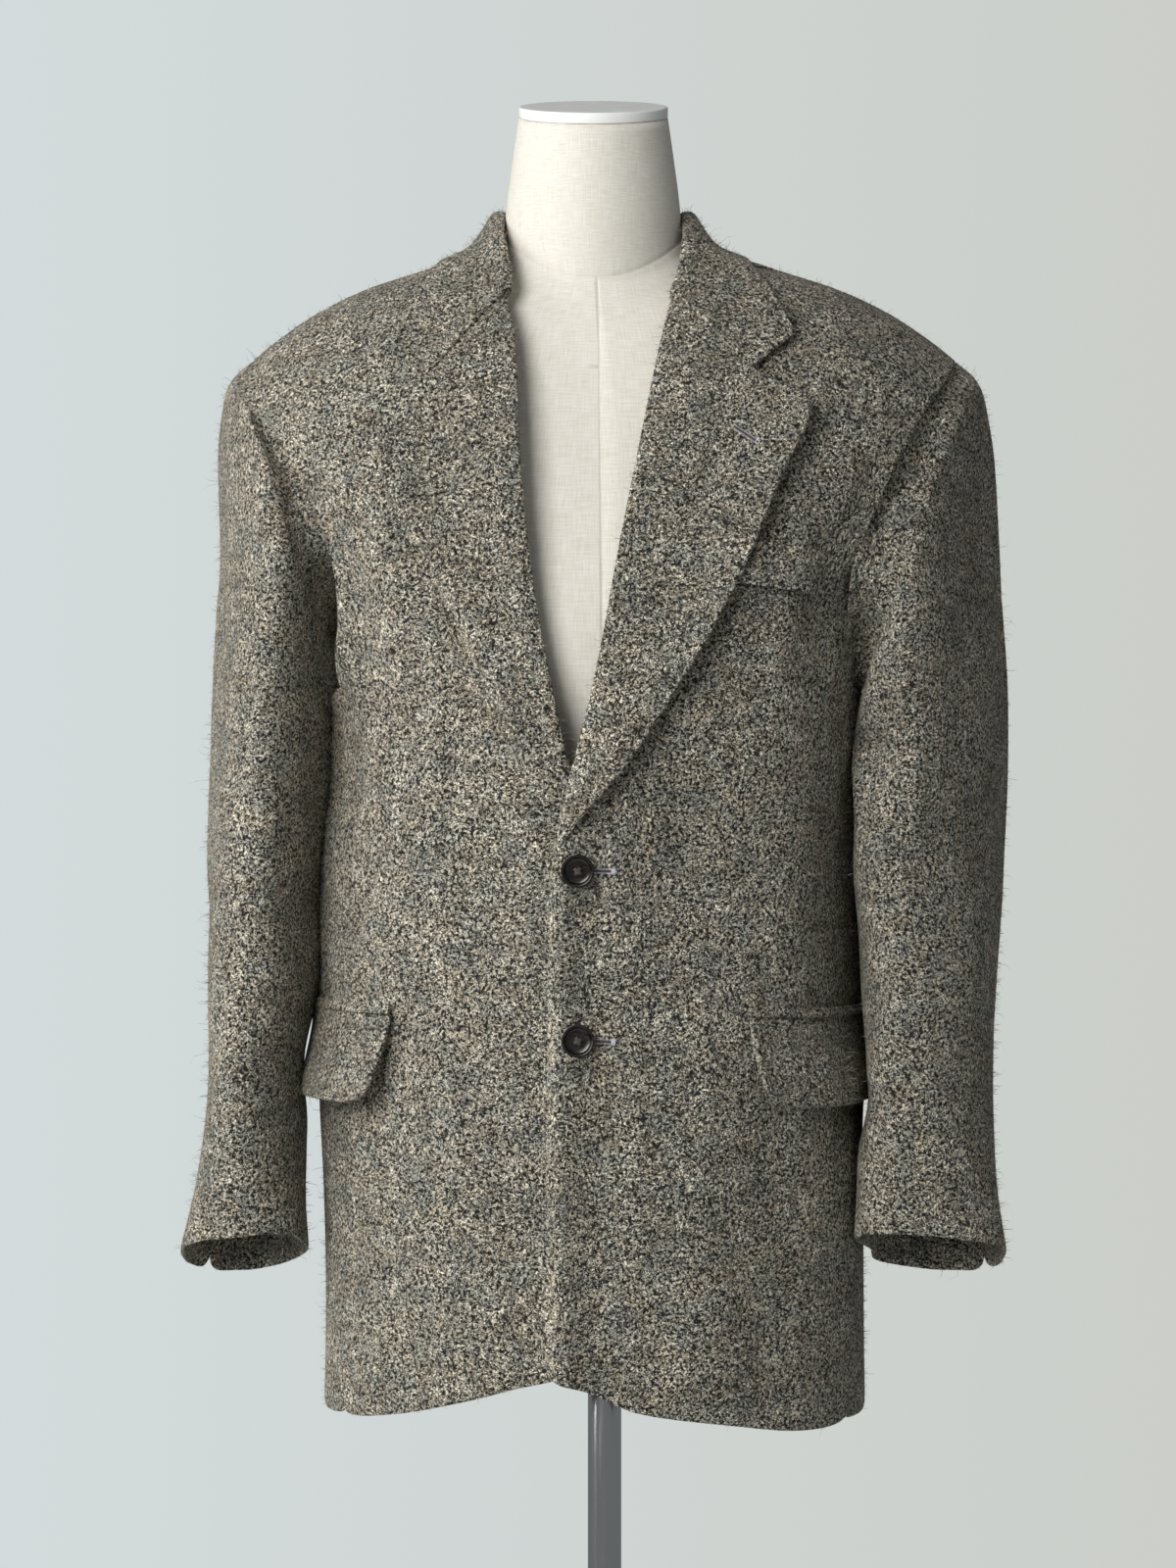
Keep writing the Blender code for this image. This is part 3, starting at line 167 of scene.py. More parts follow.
def choose(piece, faces=None, edges=None):
    """Selects, in edit mode, the faces or edges of the piece that the given test accepts."""
    bpy.ops.object.mode_set(mode="EDIT")
    bpy.ops.mesh.select_mode(type="FACE" if faces else "EDGE")
    bpy.ops.mesh.select_all(action="DESELECT")
    work = bmesh.from_edit_mesh(piece.data)
    work.normal_update()
    for part in work.faces if faces else work.edges:
        if (faces or edges)(part):
            part.select_set(True)
    work.select_flush_mode()
    bmesh.update_edit_mesh(piece.data)


def sharp(angle):
    """The test for an edge whose faces turn by more than the angle, in radians."""
    return lambda e: e.is_manifold and e.calc_face_angle(0) > angle


def settle(piece, name, finish, slot, *stands_for):
    """Puts the piece's place into its mesh, names it, and hands it to the frame."""
    pick(piece)
    bpy.ops.object.transform_apply(location=True, rotation=True, scale=True)
    begin()
    piece.name = piece.data.name = name
    piece.data.materials.clear()
    piece.data.materials.append(finish)
    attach(piece, "root")
    if stands_for:
        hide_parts(*stands_for)


def smooth(piece, angle=35):
    """Shades the piece as round, apart from the edges sharper than the angle, in degrees."""
    pick(piece)
    bpy.ops.object.shade_smooth_by_angle(angle=math.radians(angle))


# Chrome plate over polished steel: a near mirror, with faint hazy wipes along it
# that break the reflections softly.
chrome, plate, gloss = new_finish("polished_chrome_plate")
where = add_node(plate, "TexCoord", out="Object")
wiped = add_node(plate, "Mapping", Vector=where, Scale=(900, 900, 14))
haze = add_node(plate, "TexNoise", Vector=wiped, Scale=1.0, Detail=3.0)
dull = add_node(plate, "MapRange", Value=haze, From_Min=0.3, From_Max=0.7, To_Min=0.07, To_Max=0.19)
add_node(plate, gloss, Base_Color="#C9CACC", Metallic=1.0, Roughness=dull)

low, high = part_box("stand_base")
begin()
BASE_EDGE = 0.012  # how thick the base is at its rim; it rises to its full height in the middle
# The rings of its top: how far each lies inside the one before, and its share of the rise.
BASE_RISE = ((0.034, 0.12), (0.028, 0.20), (0.0315, 0.23), (0.0255, 0.24), (0.026, 0.21))
bpy.ops.mesh.primitive_cylinder_add(vertices=96, radius=high.x, depth=BASE_EDGE, location=(0, 0, BASE_EDGE / 2))
base = bpy.context.object
choose(base, faces=lambda f: f.normal.z > 0.9)
for inward, share in BASE_RISE:
    bpy.ops.mesh.inset(thickness=inward)
    bpy.ops.transform.translate(value=(0, 0, (high.z - BASE_EDGE) * share))
choose(base, faces=lambda f: f.normal.z < -0.9)
bpy.ops.mesh.inset(thickness=0.008)
bpy.ops.mesh.extrude_region_move(TRANSFORM_OT_translate={"value": (0, 0, 0.003)})
choose(base, edges=lambda e: sharp(0.9)(e) and min(v.co.xy.length for v in e.verts) > high.x - 0.001)
bpy.ops.mesh.bevel(offset=0.0035, segments=5, affect="EDGES")
smooth(base)
settle(base, "chrome_base", chrome, "chrome", "stand_base")

low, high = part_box("pole_socket")
BORE = 0.0113  # the tube passes through the socket with this radius round its axis
SOCKET_TURNING = (
    (high.x, low.z), (high.x, low.z + 0.006), (high.x - 0.003, high.z - 0.004),
    (high.x - 0.006, high.z), (BORE, high.z),
)
begin()
bpy.ops.mesh.primitive_circle_add(vertices=64, radius=BORE, location=(0, 0, low.z))
socket = bpy.context.object
choose(socket, edges=lambda e: True)
radius, level = BORE, low.z
for next_radius, next_level in SOCKET_TURNING:
    bpy.ops.mesh.extrude_region_move(TRANSFORM_OT_translate={"value": (0, 0, next_level - level)})
    grow = next_radius / radius
    bpy.ops.transform.resize(value=(grow, grow, 1), center_override=(0, 0, next_level))
    radius, level = next_radius, next_level
choose(socket, edges=lambda e: e.is_boundary)
bpy.ops.mesh.bridge_edge_loops()
bpy.ops.mesh.select_all(action="SELECT")
bpy.ops.mesh.normals_make_consistent(inside=False)
choose(socket, edges=lambda e: sharp(0.4)(e) and e.calc_length() < 0.0025)
bpy.ops.mesh.bevel(offset=0.0007, segments=3, affect="EDGES")
smooth(socket)
settle(socket, "turned_socket", chrome, "chrome", "pole_socket")


def turned(node, name, finish, slot, faces, insets, round_off, sides, segments, size=None, tilt=0, both=False):
    """A round piece in the middle of its solid: its faces, or both, drawn in by the insets, its edges rounded."""
    low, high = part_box(node)
    radius, depth = size or (high.x, high.z - low.z)
    begin()
    bpy.ops.mesh.primitive_cylinder_add(vertices=sides, radius=radius, depth=depth, location=(low + high) / 2)
    piece = bpy.context.object
    choose(piece, faces=faces)
    for inset in insets:
        bpy.ops.mesh.inset(thickness=inset, use_individual=both)
    choose(piece, edges=sharp(0.9))
    bpy.ops.mesh.bevel(offset=round_off, segments=segments, affect="EDGES")
    piece.rotation_euler = (tilt, 0, 0)
    smooth(piece)
    settle(piece, name, finish, slot, node)


PLATED = (chrome, "chrome")
# How far in each face is drawn, the round of the edges, and how many sides and steps these have.
POLE_EDGE, PLATE_EDGE = ((0.0012,), 0.0006, 64, 2), ((0.045, 0.012), 0.0016, 80, 3)
turned("stand_pole", "chrome_tube", *PLATED, lambda f: abs(f.normal.z) > 0.9, *POLE_EDGE, both=True)
turned("form_plate", "chrome_plate", *PLATED, lambda f: f.normal.z < -0.9, *PLATE_EDGE)

# ---- the dress form
# A padded torso and neck under tightly stretched cream linen, sewn round the neck
# and down the middle of the front and the back. It is turned in under the foot.

WELD, SEWN_WELD = 2e-5, 5e-4  # how near the points of one solid, or of two sewn together, are joined
LET_OUT = 0.9  # the share of what is missing that each round lets the cage out by
CORNER = 0.85  # how firm a corner of two rims stays


def soft_copy(solids, name, rim=0.0, levels=2, rim_angle=70):
    """One solid's shape, or that of two sewn together, rounded off. Rim is how firm its turned edges stay."""
    shape = bmesh.new()
    for node in solids:
        shape.from_mesh(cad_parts[node].data)
    bmesh.ops.remove_doubles(shape, verts=shape.verts, dist=WELD if len(solids) == 1 else SEWN_WELD)
    # Where two solids meet, the faces between them go, and the ring that they shared is the seam.
    joined = [edge for edge in shape.edges if len(solids) > 1 and len(edge.link_faces) > 2]
    sewn = {v for edge in joined for v in edge.verts}
    bmesh.ops.delete(shape, geom=[f for f in shape.faces if all(v in sewn for v in f.verts)], context="FACES")
    for edge in shape.edges:
        edge.seam = all(v in sewn for v in edge.verts)
    level, square = math.radians(40), math.radians(60)
    bmesh.ops.join_triangles(shape, faces=shape.faces, angle_face_threshold=level, angle_shape_threshold=square)
    if rim:
        firm = shape.edges.layers.float.new("crease_edge")
        for edge in shape.edges:
            if sharp(math.radians(rim_angle))(edge):
                edge[firm] = rim
        corner = shape.verts.layers.float.new("crease_vert")
        for vert in shape.verts:
            if sum(edge[firm] > 0 for edge in vert.link_edges) > 2:
                vert[corner] = CORNER
    mesh = bpy.data.meshes.new(name)
    shape.to_mesh(mesh)
    shape.free()
    piece = lay_out(mesh)
    pick(piece)
    rounder = piece.modifiers.new("rounded", "SUBSURF")
    rounder.levels = rounder.render_levels = levels
    # Rounding draws the surface in, so its cage is let out until the solid's own points lie on it again.
    cage = np.array([v.co for v in mesh.vertices], float)
    aim = cage.copy()
    for _ in range(3):
        bpy.context.view_layer.update()
        rounded = piece.evaluated_get(bpy.context.evaluated_depsgraph_get()).to_mesh()
        lies = np.array([v.co for v in rounded.vertices[: len(aim)]], float)
        cage += (aim - lies) * LET_OUT
        mesh.vertices.foreach_set("co", cage.astype(np.float32).ravel())
        mesh.update()
    bpy.ops.object.modifier_apply(modifier="rounded")
    piece.data.shade_smooth()
    return piece


# Plain-woven linen, washed and stretched: thick and thin threads each way, a few
# slubs, a matt face that lifts to a soft light at its edges.
THREAD = 0.0009  # linen threads lie about 0.6 mm apart; drawn half as coarse again, so that they show
# The warp, the weft and the slubs: how fine each is across and along, and its detail.
THREADS_LIE = (((1 / THREAD, 0.06 / THREAD, 1), 2.0), ((0.05 / THREAD, 1 / THREAD, 1), 2.0), ((60, 620, 1), 1.0))
linen, cover, face = new_finish("stretched_cream_linen")
where = add_node(cover, "UVMap", {"uv_map": "round_the_form"})
laid = []
for fine, detail in THREADS_LIE:
    drawn = add_node(cover, "Mapping", Vector=where, Scale=fine)
    laid.append(add_node(cover, "TexNoise", Vector=drawn, Scale=1.0, Detail=detail))
woven = add_node(cover, "Math", _0=laid[0], _1=laid[1])
thick = add_node(cover, "MapRange", Value=woven, From_Min=0.72, From_Max=1.28)
slubs = add_node(cover, "MapRange", Value=laid[2], From_Min=0.62, From_Max=0.80)
tone = add_node(cover, "Mix", RGBA, 2, _0=thick, _6="#CFCBBF", _7="#E3E0D8")
tone = add_node(cover, "Mix", RGBA, 2, _0=slubs, _6=tone, _7="#D6D1C3")
relief = add_node(cover, "Bump", Strength=0.35, Distance=0.0003, Height=woven)
add_node(cover, face, Base_Color=tone, Normal=relief, Roughness=0.86, Sheen_Weight=0.12, Sheen_Roughness=0.5)

FORM_MIDDLE = -0.0045  # the form hangs this far to the wearer's right of the pole
FORM_RADIUS = 0.12  # about how far the linen lies from the form's middle line
SEAM_LEAN = -0.012  # the front seam runs this far off the upright for each metre down
SEAM_NIP, SEAM_HALF = 0.0008, 0.0008  # how deep and how far to each side the sewn lines draw the linen in
NECK_SEAM = {"front": 1.380, "back": 1.411}  # how high the seams down the middle end


def sew_cover(piece, normal):
    """Draws the linen in along the seam round its neck, and down the middle on the plane with this normal."""
    work = bmesh.new()
    work.from_mesh(piece.data)
    line = [e for e in work.edges if e.seam]
    rows = [(e.verts[0].co.copy(), e.verts[1].co.copy()) for e in line]
    bmesh.ops.bevel(work, geom=line, offset=SEAM_HALF, segments=2, profile=0.5, affect="EDGES")
    work.normal_update()
    for v in work.verts:
        for start, end in rows:
            share = min(max((v.co - start).dot(end - start) / (end - start).length_squared, 0), 1)
            if (v.co - start.lerp(end, share)).length < SEAM_HALF * 0.4:
                v.co -= v.normal * SEAM_NIP * 0.5
                break
    middle = Vector((FORM_MIDDLE, 0, NECK_SEAM["front"]))
    for offset in (-SEAM_HALF, 0, SEAM_HALF):
        geom = list(work.verts) + list(work.edges) + list(work.faces)
        bmesh.ops.bisect_plane(work, geom=geom, dist=1e-6, plane_co=middle + normal * offset, plane_no=normal)
    work.normal_update()
    on_line = [v for v in work.verts if abs((v.co - middle).dot(normal)) < 1e-5 and abs(v.normal.z) < 0.7]
    for v in [v for v in on_line if v.co.z < NECK_SEAM["front" if v.co.y < 0 else "back"]]:
        v.co -= v.normal * SEAM_NIP
    work.to_mesh(piece.data)
    work.free()


def lay_round(piece):
    """Gives the piece a map in metres: round it, and up it, for the threads to follow."""
    layer = piece.data.uv_layers.new(name="round_the_form")
    for polygon in piece.data.polygons:
        facing = math.atan2(polygon.center.x - FORM_MIDDLE, -polygon.center.y)
        for loop in polygon.loop_indices:
            spot = piece.data.vertices[piece.data.loops[loop].vertex_index].co
            turn = math.atan2(spot.x - FORM_MIDDLE, -spot.y)
            turn = facing + (turn - facing + math.pi) % math.tau - math.pi
            layer.data[loop].uv = (turn * FORM_RADIUS, spot.z)


covered = soft_copy(("form_torso", "form_neck"), "linen_form", rim=1.0, rim_angle=60)
sew_cover(covered, Vector((1, 0, -SEAM_LEAN)).normalized())
lay_round(covered)
covered.data.shade_smooth()
settle(covered, "linen_form", linen, "linen", "form_torso", "form_neck")

# ---- the neck cap
# A round wooden disc, turned with a soft edge and sprayed with white satin lacquer,
# screwed onto the top of the neck at the neck's forward tilt.
lacquer, spray, skin = new_finish("sprayed_white_satin_lacquer")
where = add_node(spray, "TexCoord", out="Object")
worn = add_node(spray, "TexNoise", Vector=where, Scale=70.0, Detail=4.0)
dull = add_node(spray, "MapRange", Value=worn, From_Min=0.3, From_Max=0.7, To_Min=0.32, To_Max=0.46)
tone = add_node(spray, "Mix", RGBA, 2, _0=worn, _6="#E6E8E6", _7="#F1F2F0")
grain = add_node(spray, "TexNoise", Vector=where, Scale=900.0, Detail=1.0)
peel = add_node(spray, "Bump", Strength=0.12, Distance=0.0002, Height=grain)
add_node(spray, skin, Base_Color=tone, Roughness=dull, Normal=peel, IOR=1.5, Coat_Weight=0.25, Coat_Roughness=0.3)

CAP_SIZE, CAP_TILT = (0.0480, 0.0070), math.radians(15)  # its radius and thickness, and the neck's forward tilt
LACQUERED = (lacquer, "white_lacquer")
CAP_EDGE = ((0.0016, 0.012), 0.0011, 96, 4)
turned("neck_cap", "lacquered_cap", *LACQUERED, lambda f: f.normal.z > 0.9, *CAP_EDGE, CAP_SIZE, CAP_TILT)

# ---- the body of the jacket
# Six pieces of mohair tweed: two fronts, two side bodies and two backs, sewn edge to
# edge. Seams are pressed open and hems turned up, so each edge ends in a soft round.

# Tweed woven from a looped, nubby yarn: short cream curls lie every way over a
# grey-brown ground, in drifts of blue, green and pink grey; the pits between them are
# painted near black, as painted shade. Rough, with a faint raised nap.
tweed, weave, nap = new_finish("nubby_woven_mohair_tweed")
where = add_node(weave, "TexCoord", out="Object")
CURL = 0.0017  # metres from one curl of the yarn to the next; drawn a little coarse, so that they show
# Two sets of curls that cross: the part of the noise they follow, how fine they are, and how thick.
CURL_SETS = (((0, 0, 0), 1.00, 0.062), ((3.7, 1.9, 5.3), 1.25, 0.050))
yarn = None
for shift, finer, thick in CURL_SETS:
    here = add_node(weave, "Mapping", Vector=where, Location=shift)
    swirl = add_node(weave, "TexNoise", Vector=here, Scale=finer / CURL, Detail=0.8, Distortion=0.9)
    off_line = add_node(weave, "Math", {"operation": "SUBTRACT"}, _0=swirl, _1=0.5)
    off_line = add_node(weave, "Math", {"operation": "ABSOLUTE"}, _0=off_line)
    edge = {"From_Min": thick * 0.45, "From_Max": thick, "To_Min": 1.0, "To_Max": 0.0}
    curl = add_node(weave, "MapRange", {"interpolation_type": "SMOOTHSTEP"}, Value=off_line, **edge)
    gaps = add_node(weave, "TexNoise", out="Color", Vector=here, Scale=0.85 / CURL, Detail=0.0)
    kept = add_node(weave, "MapRange", Value=gaps, From_Min=0.42, From_Max=0.52)
    part = add_node(weave, "Math", {"operation": "MULTIPLY"}, _0=curl, _1=kept)
    yarn = add_node(weave, "Math", {"operation": "MAXIMUM"}, _0=yarn, _1=part) if yarn else part
dips = add_node(weave, "TexNoise", Vector=where, Scale=1.35 / CURL, Detail=1.0)
pits_and_painted_shade = add_node(weave, "MapRange", Value=dips, From_Min=0.54, From_Max=0.66)
DRIFT = 0.014  # the hue of the yarn drifts over about this many metres
drifts = add_node(weave, "TexNoise", out="Color", Vector=where, Scale=1 / DRIFT, Detail=2.0)
drifts = add_node(weave, "SeparateColor", Color=drifts).node.outputs
drift = [
    add_node(weave, "MapRange", Value=channel, From_Min=low, From_Max=high)
    for channel, low, high in zip(drifts, (0.38, 0.40, 0.45), (0.62, 0.60, 0.66))
]
ground = add_node(weave, "Mix", RGBA, 2, _0=drift[0], _6="#26241E", _7="#25272A")
# Painted shade: the pits are coloured near black for the shade that falls in the hollows between the yarn.
ground = add_node(weave, "Mix", RGBA, 2, _0=pits_and_painted_shade, _6=ground, _7="#050505")
curls = add_node(weave, "Mix", RGBA, 2, _0=drift[1], _6="#FAF3E0", _7="#E8DCC5")
curls = add_node(weave, "Mix", RGBA, 2, _0=drift[2], _6=curls, _7="#D3D3C6")
flecked = add_node(weave, "Mix", RGBA, 2, _0=yarn, _6=ground, _7=curls)
ways = [add_node(weave, "Mapping", Vector=where, Scale=fine) for fine in ((95, 95, 16), (16, 16, 95))]
down, along = (add_node(weave, "TexNoise", Vector=way, Scale=1.0, Detail=1.0) for way in ways)
crossed = add_node(weave, "Math", _0=down, _1=along)
shade = add_node(weave, "MapRange", Value=crossed, From_Min=0.75, From_Max=1.25, To_Min=0.85, To_Max=1.15)
tone = add_node(weave, "VectorMath", {"operation": "SCALE"}, _0=flecked, Scale=shade)
height = add_node(weave, "Math", {"operation": "SUBTRACT"}, _0=yarn, _1=pits_and_painted_shade)
relief = add_node(weave, "Bump", Strength=0.85, Distance=0.0006, Height=height)
add_node(weave, nap, Base_Color=tone, Normal=relief, Roughness=0.95, Specular_IOR_Level=0.15)
add_node(weave, nap, Sheen_Weight=0.12, Sheen_Roughness=0.55, Sheen_Tint="#DDD8C9")

# Each fold: the side it shows on, its two ends as (across, up), its half width and
# how far it stands out. Across is x on the front and back, y on the left and right.
BODY_FOLDS = (
    ("front", (-0.125, 1.33), (-0.133, 1.15), 0.013, 0.0022),
    ("front", (-0.1, 1.29), (-0.112, 1.12), 0.01, -0.0016),
    ("front", (-0.133, 1.215), (-0.13, 0.95), 0.017, 0.002),
    ("front", (-0.09, 1.12), (-0.07, 0.96), 0.018, -0.0022),
    ("front", (-0.048, 1.06), (-0.04, 0.94), 0.016, 0.0016),
    ("front", (-0.095, 0.9), (-0.078, 0.68), 0.018, 0.002),
    ("front", (-0.133, 0.85), (-0.125, 0.68), 0.016, -0.0018),
    ("front", (0.133, 1.28), (0.14, 1.15), 0.014, -0.0022),
    ("front", (0.11, 1.16), (0.116, 0.96), 0.016, 0.002),
    ("front", (0.065, 1.13), (0.056, 0.98), 0.018, -0.0018),
    ("front", (0.008, 0.88), (0.004, 0.69), 0.011, -0.0022),
    ("front", (0.064, 0.9), (0.054, 0.69), 0.019, 0.002),
    ("front", (0.112, 0.88), (0.1, 0.68), 0.016, -0.002),
    ("front", (-0.007, 0.99), (-0.008, 0.7), 0.014, -0.0026),
    ("left", (-0.025, 1.1), (-0.015, 0.94), 0.016, -0.0016),
    ("left", (0.035, 0.96), (0.028, 0.69), 0.02, 0.002),
    ("right", (-0.02, 1.08), (-0.025, 0.93), 0.017, 0.0014),
    ("right", (0.02, 0.93), (0.035, 0.69), 0.019, -0.0018),
    ("back", (-0.125, 1.33), (-0.115, 1.13), 0.016, -0.0022),
    ("back", (-0.085, 1.16), (-0.07, 0.96), 0.02, 0.0022),
    ("back", (-0.035, 1.05), (-0.04, 0.7), 0.018, -0.002),
    ("back", (-0.11, 0.95), (-0.12, 0.69), 0.02, 0.0022),
    ("back", (0.12, 1.32), (0.105, 1.14), 0.016, -0.0022),
    ("back", (0.07, 1.2), (0.085, 0.99), 0.019, 0.002),
    ("back", (0.03, 0.99), (0.045, 0.7), 0.019, -0.0018),
    ("back", (0.115, 0.93), (0.105, 0.69), 0.02, 0.0022),
)
FACING = {"front": (0, -1, 0), "back": (0, 1, 0), "left": (1, 0, 0), "right": (-1, 0, 0)}
SHOWS_FROM, SHOWS_WHOLE = 0.15, 0.60  # how far the cloth faces a fold's side before the fold begins, and is whole


def level_way(points, middle):
    """The level way out from the middle, at each point."""
    out = points - middle
    out[:, 2] = 0
    return out / np.maximum(np.linalg.norm(out, axis=1), 1e-6)[:, None]


def from_the_middle(points):
    """The way out from the body's upright middle line."""
    return level_way(points, np.array([FORM_MIDDLE, 0.0, 0.0]))


def along_line(seen, start, end, width):
    """How much each point feels a fold that runs from start to end: 1 on its line, fading over its width."""
    line = np.array(end) - np.array(start)
    share = np.clip((seen - np.array(start)) @ line / (line @ line), 0, 1)
    away = np.linalg.norm(seen - np.array(start) - share[:, None] * line, axis=1)
    return np.exp(-((away / width) ** 2))


def hang(piece, folds, presses, way_out):
    """Brings up the folds: both faces of the cloth move out or in together. A press moves them back and aside."""
    points = np.array([v.co for v in piece.data.vertices], float)
    out = way_out(points)
    moved = np.zeros(len(points))
    for side, start, end, width, rise in folds:
        faces_us = np.clip((out @ np.array(FACING[side]) - SHOWS_FROM) / (SHOWS_WHOLE - SHOWS_FROM), 0, 1)
        seen = points[:, [0 if side in ("front", "back") else 1, 2]]
        moved += rise * faces_us * along_line(seen, start, end, width)
    # A press is felt whole in front, and ever less round to the back, where it ends.
    in_front = np.clip((0.9 - out[:, 1]) / 1.8, 0, 1)
    pressed = np.zeros(points.shape)
    for start, end, width, back, aside in presses:
        felt = in_front * along_line(points[:, [0, 2]], start, end, width)
        pressed += felt[:, None] * np.array([aside, back, 0.0])
    points += out * moved[:, None] + pressed
    piece.data.vertices.foreach_set("co", points.astype(np.float32).ravel())
    piece.data.update()


def cloth_surface(*pieces):
    """The faces of these pieces, to find places on."""
    points, faces = [], []
    for piece in pieces:
        start = len(points)
        points += [v.co.copy() for v in piece.data.vertices]
        faces += [[start + i for i in polygon.vertices] for polygon in piece.data.polygons]
    return BVHTree.FromPolygons(points, faces)


def seen_on(cloth, x, z):
    """The point of the cloth that is met from straight in front, and the way that it faces there."""
    spot, normal = cloth.ray_cast(Vector((x, -0.5, z)), Vector((0, 1, 0)))[:2]
    return spot, normal if spot is None or normal.y < 0 else -normal


ROLL_STEP, ROLL_SIDES = 0.0035, 8  # how far apart the rings of a turned edge lie, and how many points each has
EDGE_SEARCH = np.arange(-0.010, 0.012, 0.0004)  # how far across a mark the edge of the cloth is looked for


def roll_edge(piece, name, marks, radius):
    """The round that a turned-in seam allowance makes along a free edge. Marks are points (x, z) near the edge."""
    cloth = cloth_surface(piece)
    inside = sum((v.co for v in piece.data.vertices), Vector()) / len(piece.data.vertices)
    path = []
    for (x0, z0), (x1, z1) in zip(marks, marks[1:]):
        mark = Vector((x0, 0, z0))
        run = Vector((x1 - x0, 0, z1 - z0))
        inward = Vector((-run.z, 0, run.x)).normalized()
        if inward.dot(inside - mark) < 0:
            inward = -inward
        steps = max(2, int(run.length / ROLL_STEP))
        for step in range(steps + 1):
            place = mark + run * (step / steps)
            for offset in EDGE_SEARCH:
                if seen_on(cloth, *(place + inward * offset).xz)[0]:
                    spot = seen_on(cloth, *(place + inward * (offset + radius * 0.7)).xz)[0]
                    if spot:
                        path.append(spot + Vector((0, radius * 0.45, 0)))
                    break
    # The line is evened out, and the round thins at both ends.
    for _ in range(3):
        path = path[:1] + [(a + b * 2 + c) / 4 for a, b, c in zip(path, path[1:], path[2:])] + path[-1:]
    points, faces = [], []
    for number, spot in enumerate(path):
        before, after = path[max(number - 1, 0)], path[min(number + 1, len(path) - 1)]
        along = (after - before).normalized()
        across = along.cross(Vector((0, -1, 0))).normalized()
        up = across.cross(along)
        girth = radius * (0.35 if number in (0, len(path) - 1) else 1.0)
        for k in range(ROLL_SIDES):
            turn = math.tau * k / ROLL_SIDES
            points.append(spot + (across * math.cos(turn) + up * math.sin(turn)) * girth)
    for ring in range(len(path) - 1):
        for k in range(ROLL_SIDES):
            a, b = ring * ROLL_SIDES + k, ring * ROLL_SIDES + (k + 1) % ROLL_SIDES
            faces.append((a, b, b + ROLL_SIDES, a + ROLL_SIDES))
    faces.append(tuple(range(ROLL_SIDES))[::-1])
    faces.append(tuple(range(len(points) - ROLL_SIDES, len(points))))
    mesh = bpy.data.meshes.new(name)
    mesh.from_pydata(points, [], faces)
    mesh.shade_smooth()
    roll = lay_out(mesh)
    pick(roll)
    choose(roll, faces=lambda f: True)
    bpy.ops.mesh.normals_make_consistent(inside=False)
    settle(roll, name, tweed, "tweed")
    return roll


def sew_in(node, flat, area, folds, presses, way_out, held, rests_on, rim=0.32, levels=2, edges=()):
    """One cut piece of tweed in its place: its form, folds, free edges and cloth. What it was cut to, flat and
    area, is not used.
    """
    name = "tweed_" + node
    piece = soft_copy((node,), name, rim, levels)
    hang(piece, folds, presses, way_out)
    settle(piece, name, tweed, "tweed", node)
    rolls = [roll_edge(piece, f"turned_edge_{node}_{k}", marks, radius) for k, (marks, radius) in enumerate(edges)]
    return piece


# Where the body gives way to the sleeves: two ends as (x, z), half width, how far back and aside it goes.
BODY_PRESSES = (
    ((0.18, 1.17), (0.18, 0.87), 0.028, 0.07, 0.01),
    ((-0.172, 1.14), (-0.17, 1.124), 0.012, 0.0, -0.004),
    ((-0.175, 1.1), (-0.172, 1.06), 0.022, 0.0, 0.012),
)
# The free edge of the left front, as (x, z) points near it, with the radius of its round.
FRONT_EDGES = {"front_left": ((((-0.034, 1.020), (-0.0345, 0.715), (-0.031, 0.690)), 0.0015),)}
# The left front laps over the right one and stands off it along its edge.
FRONT_LIES = {
    "front_left": (
        ("front", (-0.027, 1.02), (-0.027, 0.7), 0.012, 0.0042),
        ("front", (-0.039, 1.02), (-0.039, 0.69), 0.0068, -0.0056),
    ),
}
jacket = {}
BODY_CUTS = {
    "front_left": ((0.285, 0.76), 0.152),
    "front_right": ((0.255, 0.755), 0.138),
    "side_left": ((0.165, 0.47), 0.072),
    "side_right": ((0.165, 0.47), 0.072),
    "back_left": ((0.255, 0.78), 0.16),
    "back_right": ((0.258, 0.78), 0.163),
}
for node, (flat, area) in BODY_CUTS.items():
    hangs = (BODY_FOLDS + FRONT_LIES.get(node, ()), BODY_PRESSES, from_the_middle, "hung", ["linen_form"])
    fine = {"levels": 3 if node == "front_left" else 2, "edges": FRONT_EDGES.get(node, ())}
    jacket[node] = sew_in(node, flat, area, *hangs, **fine)

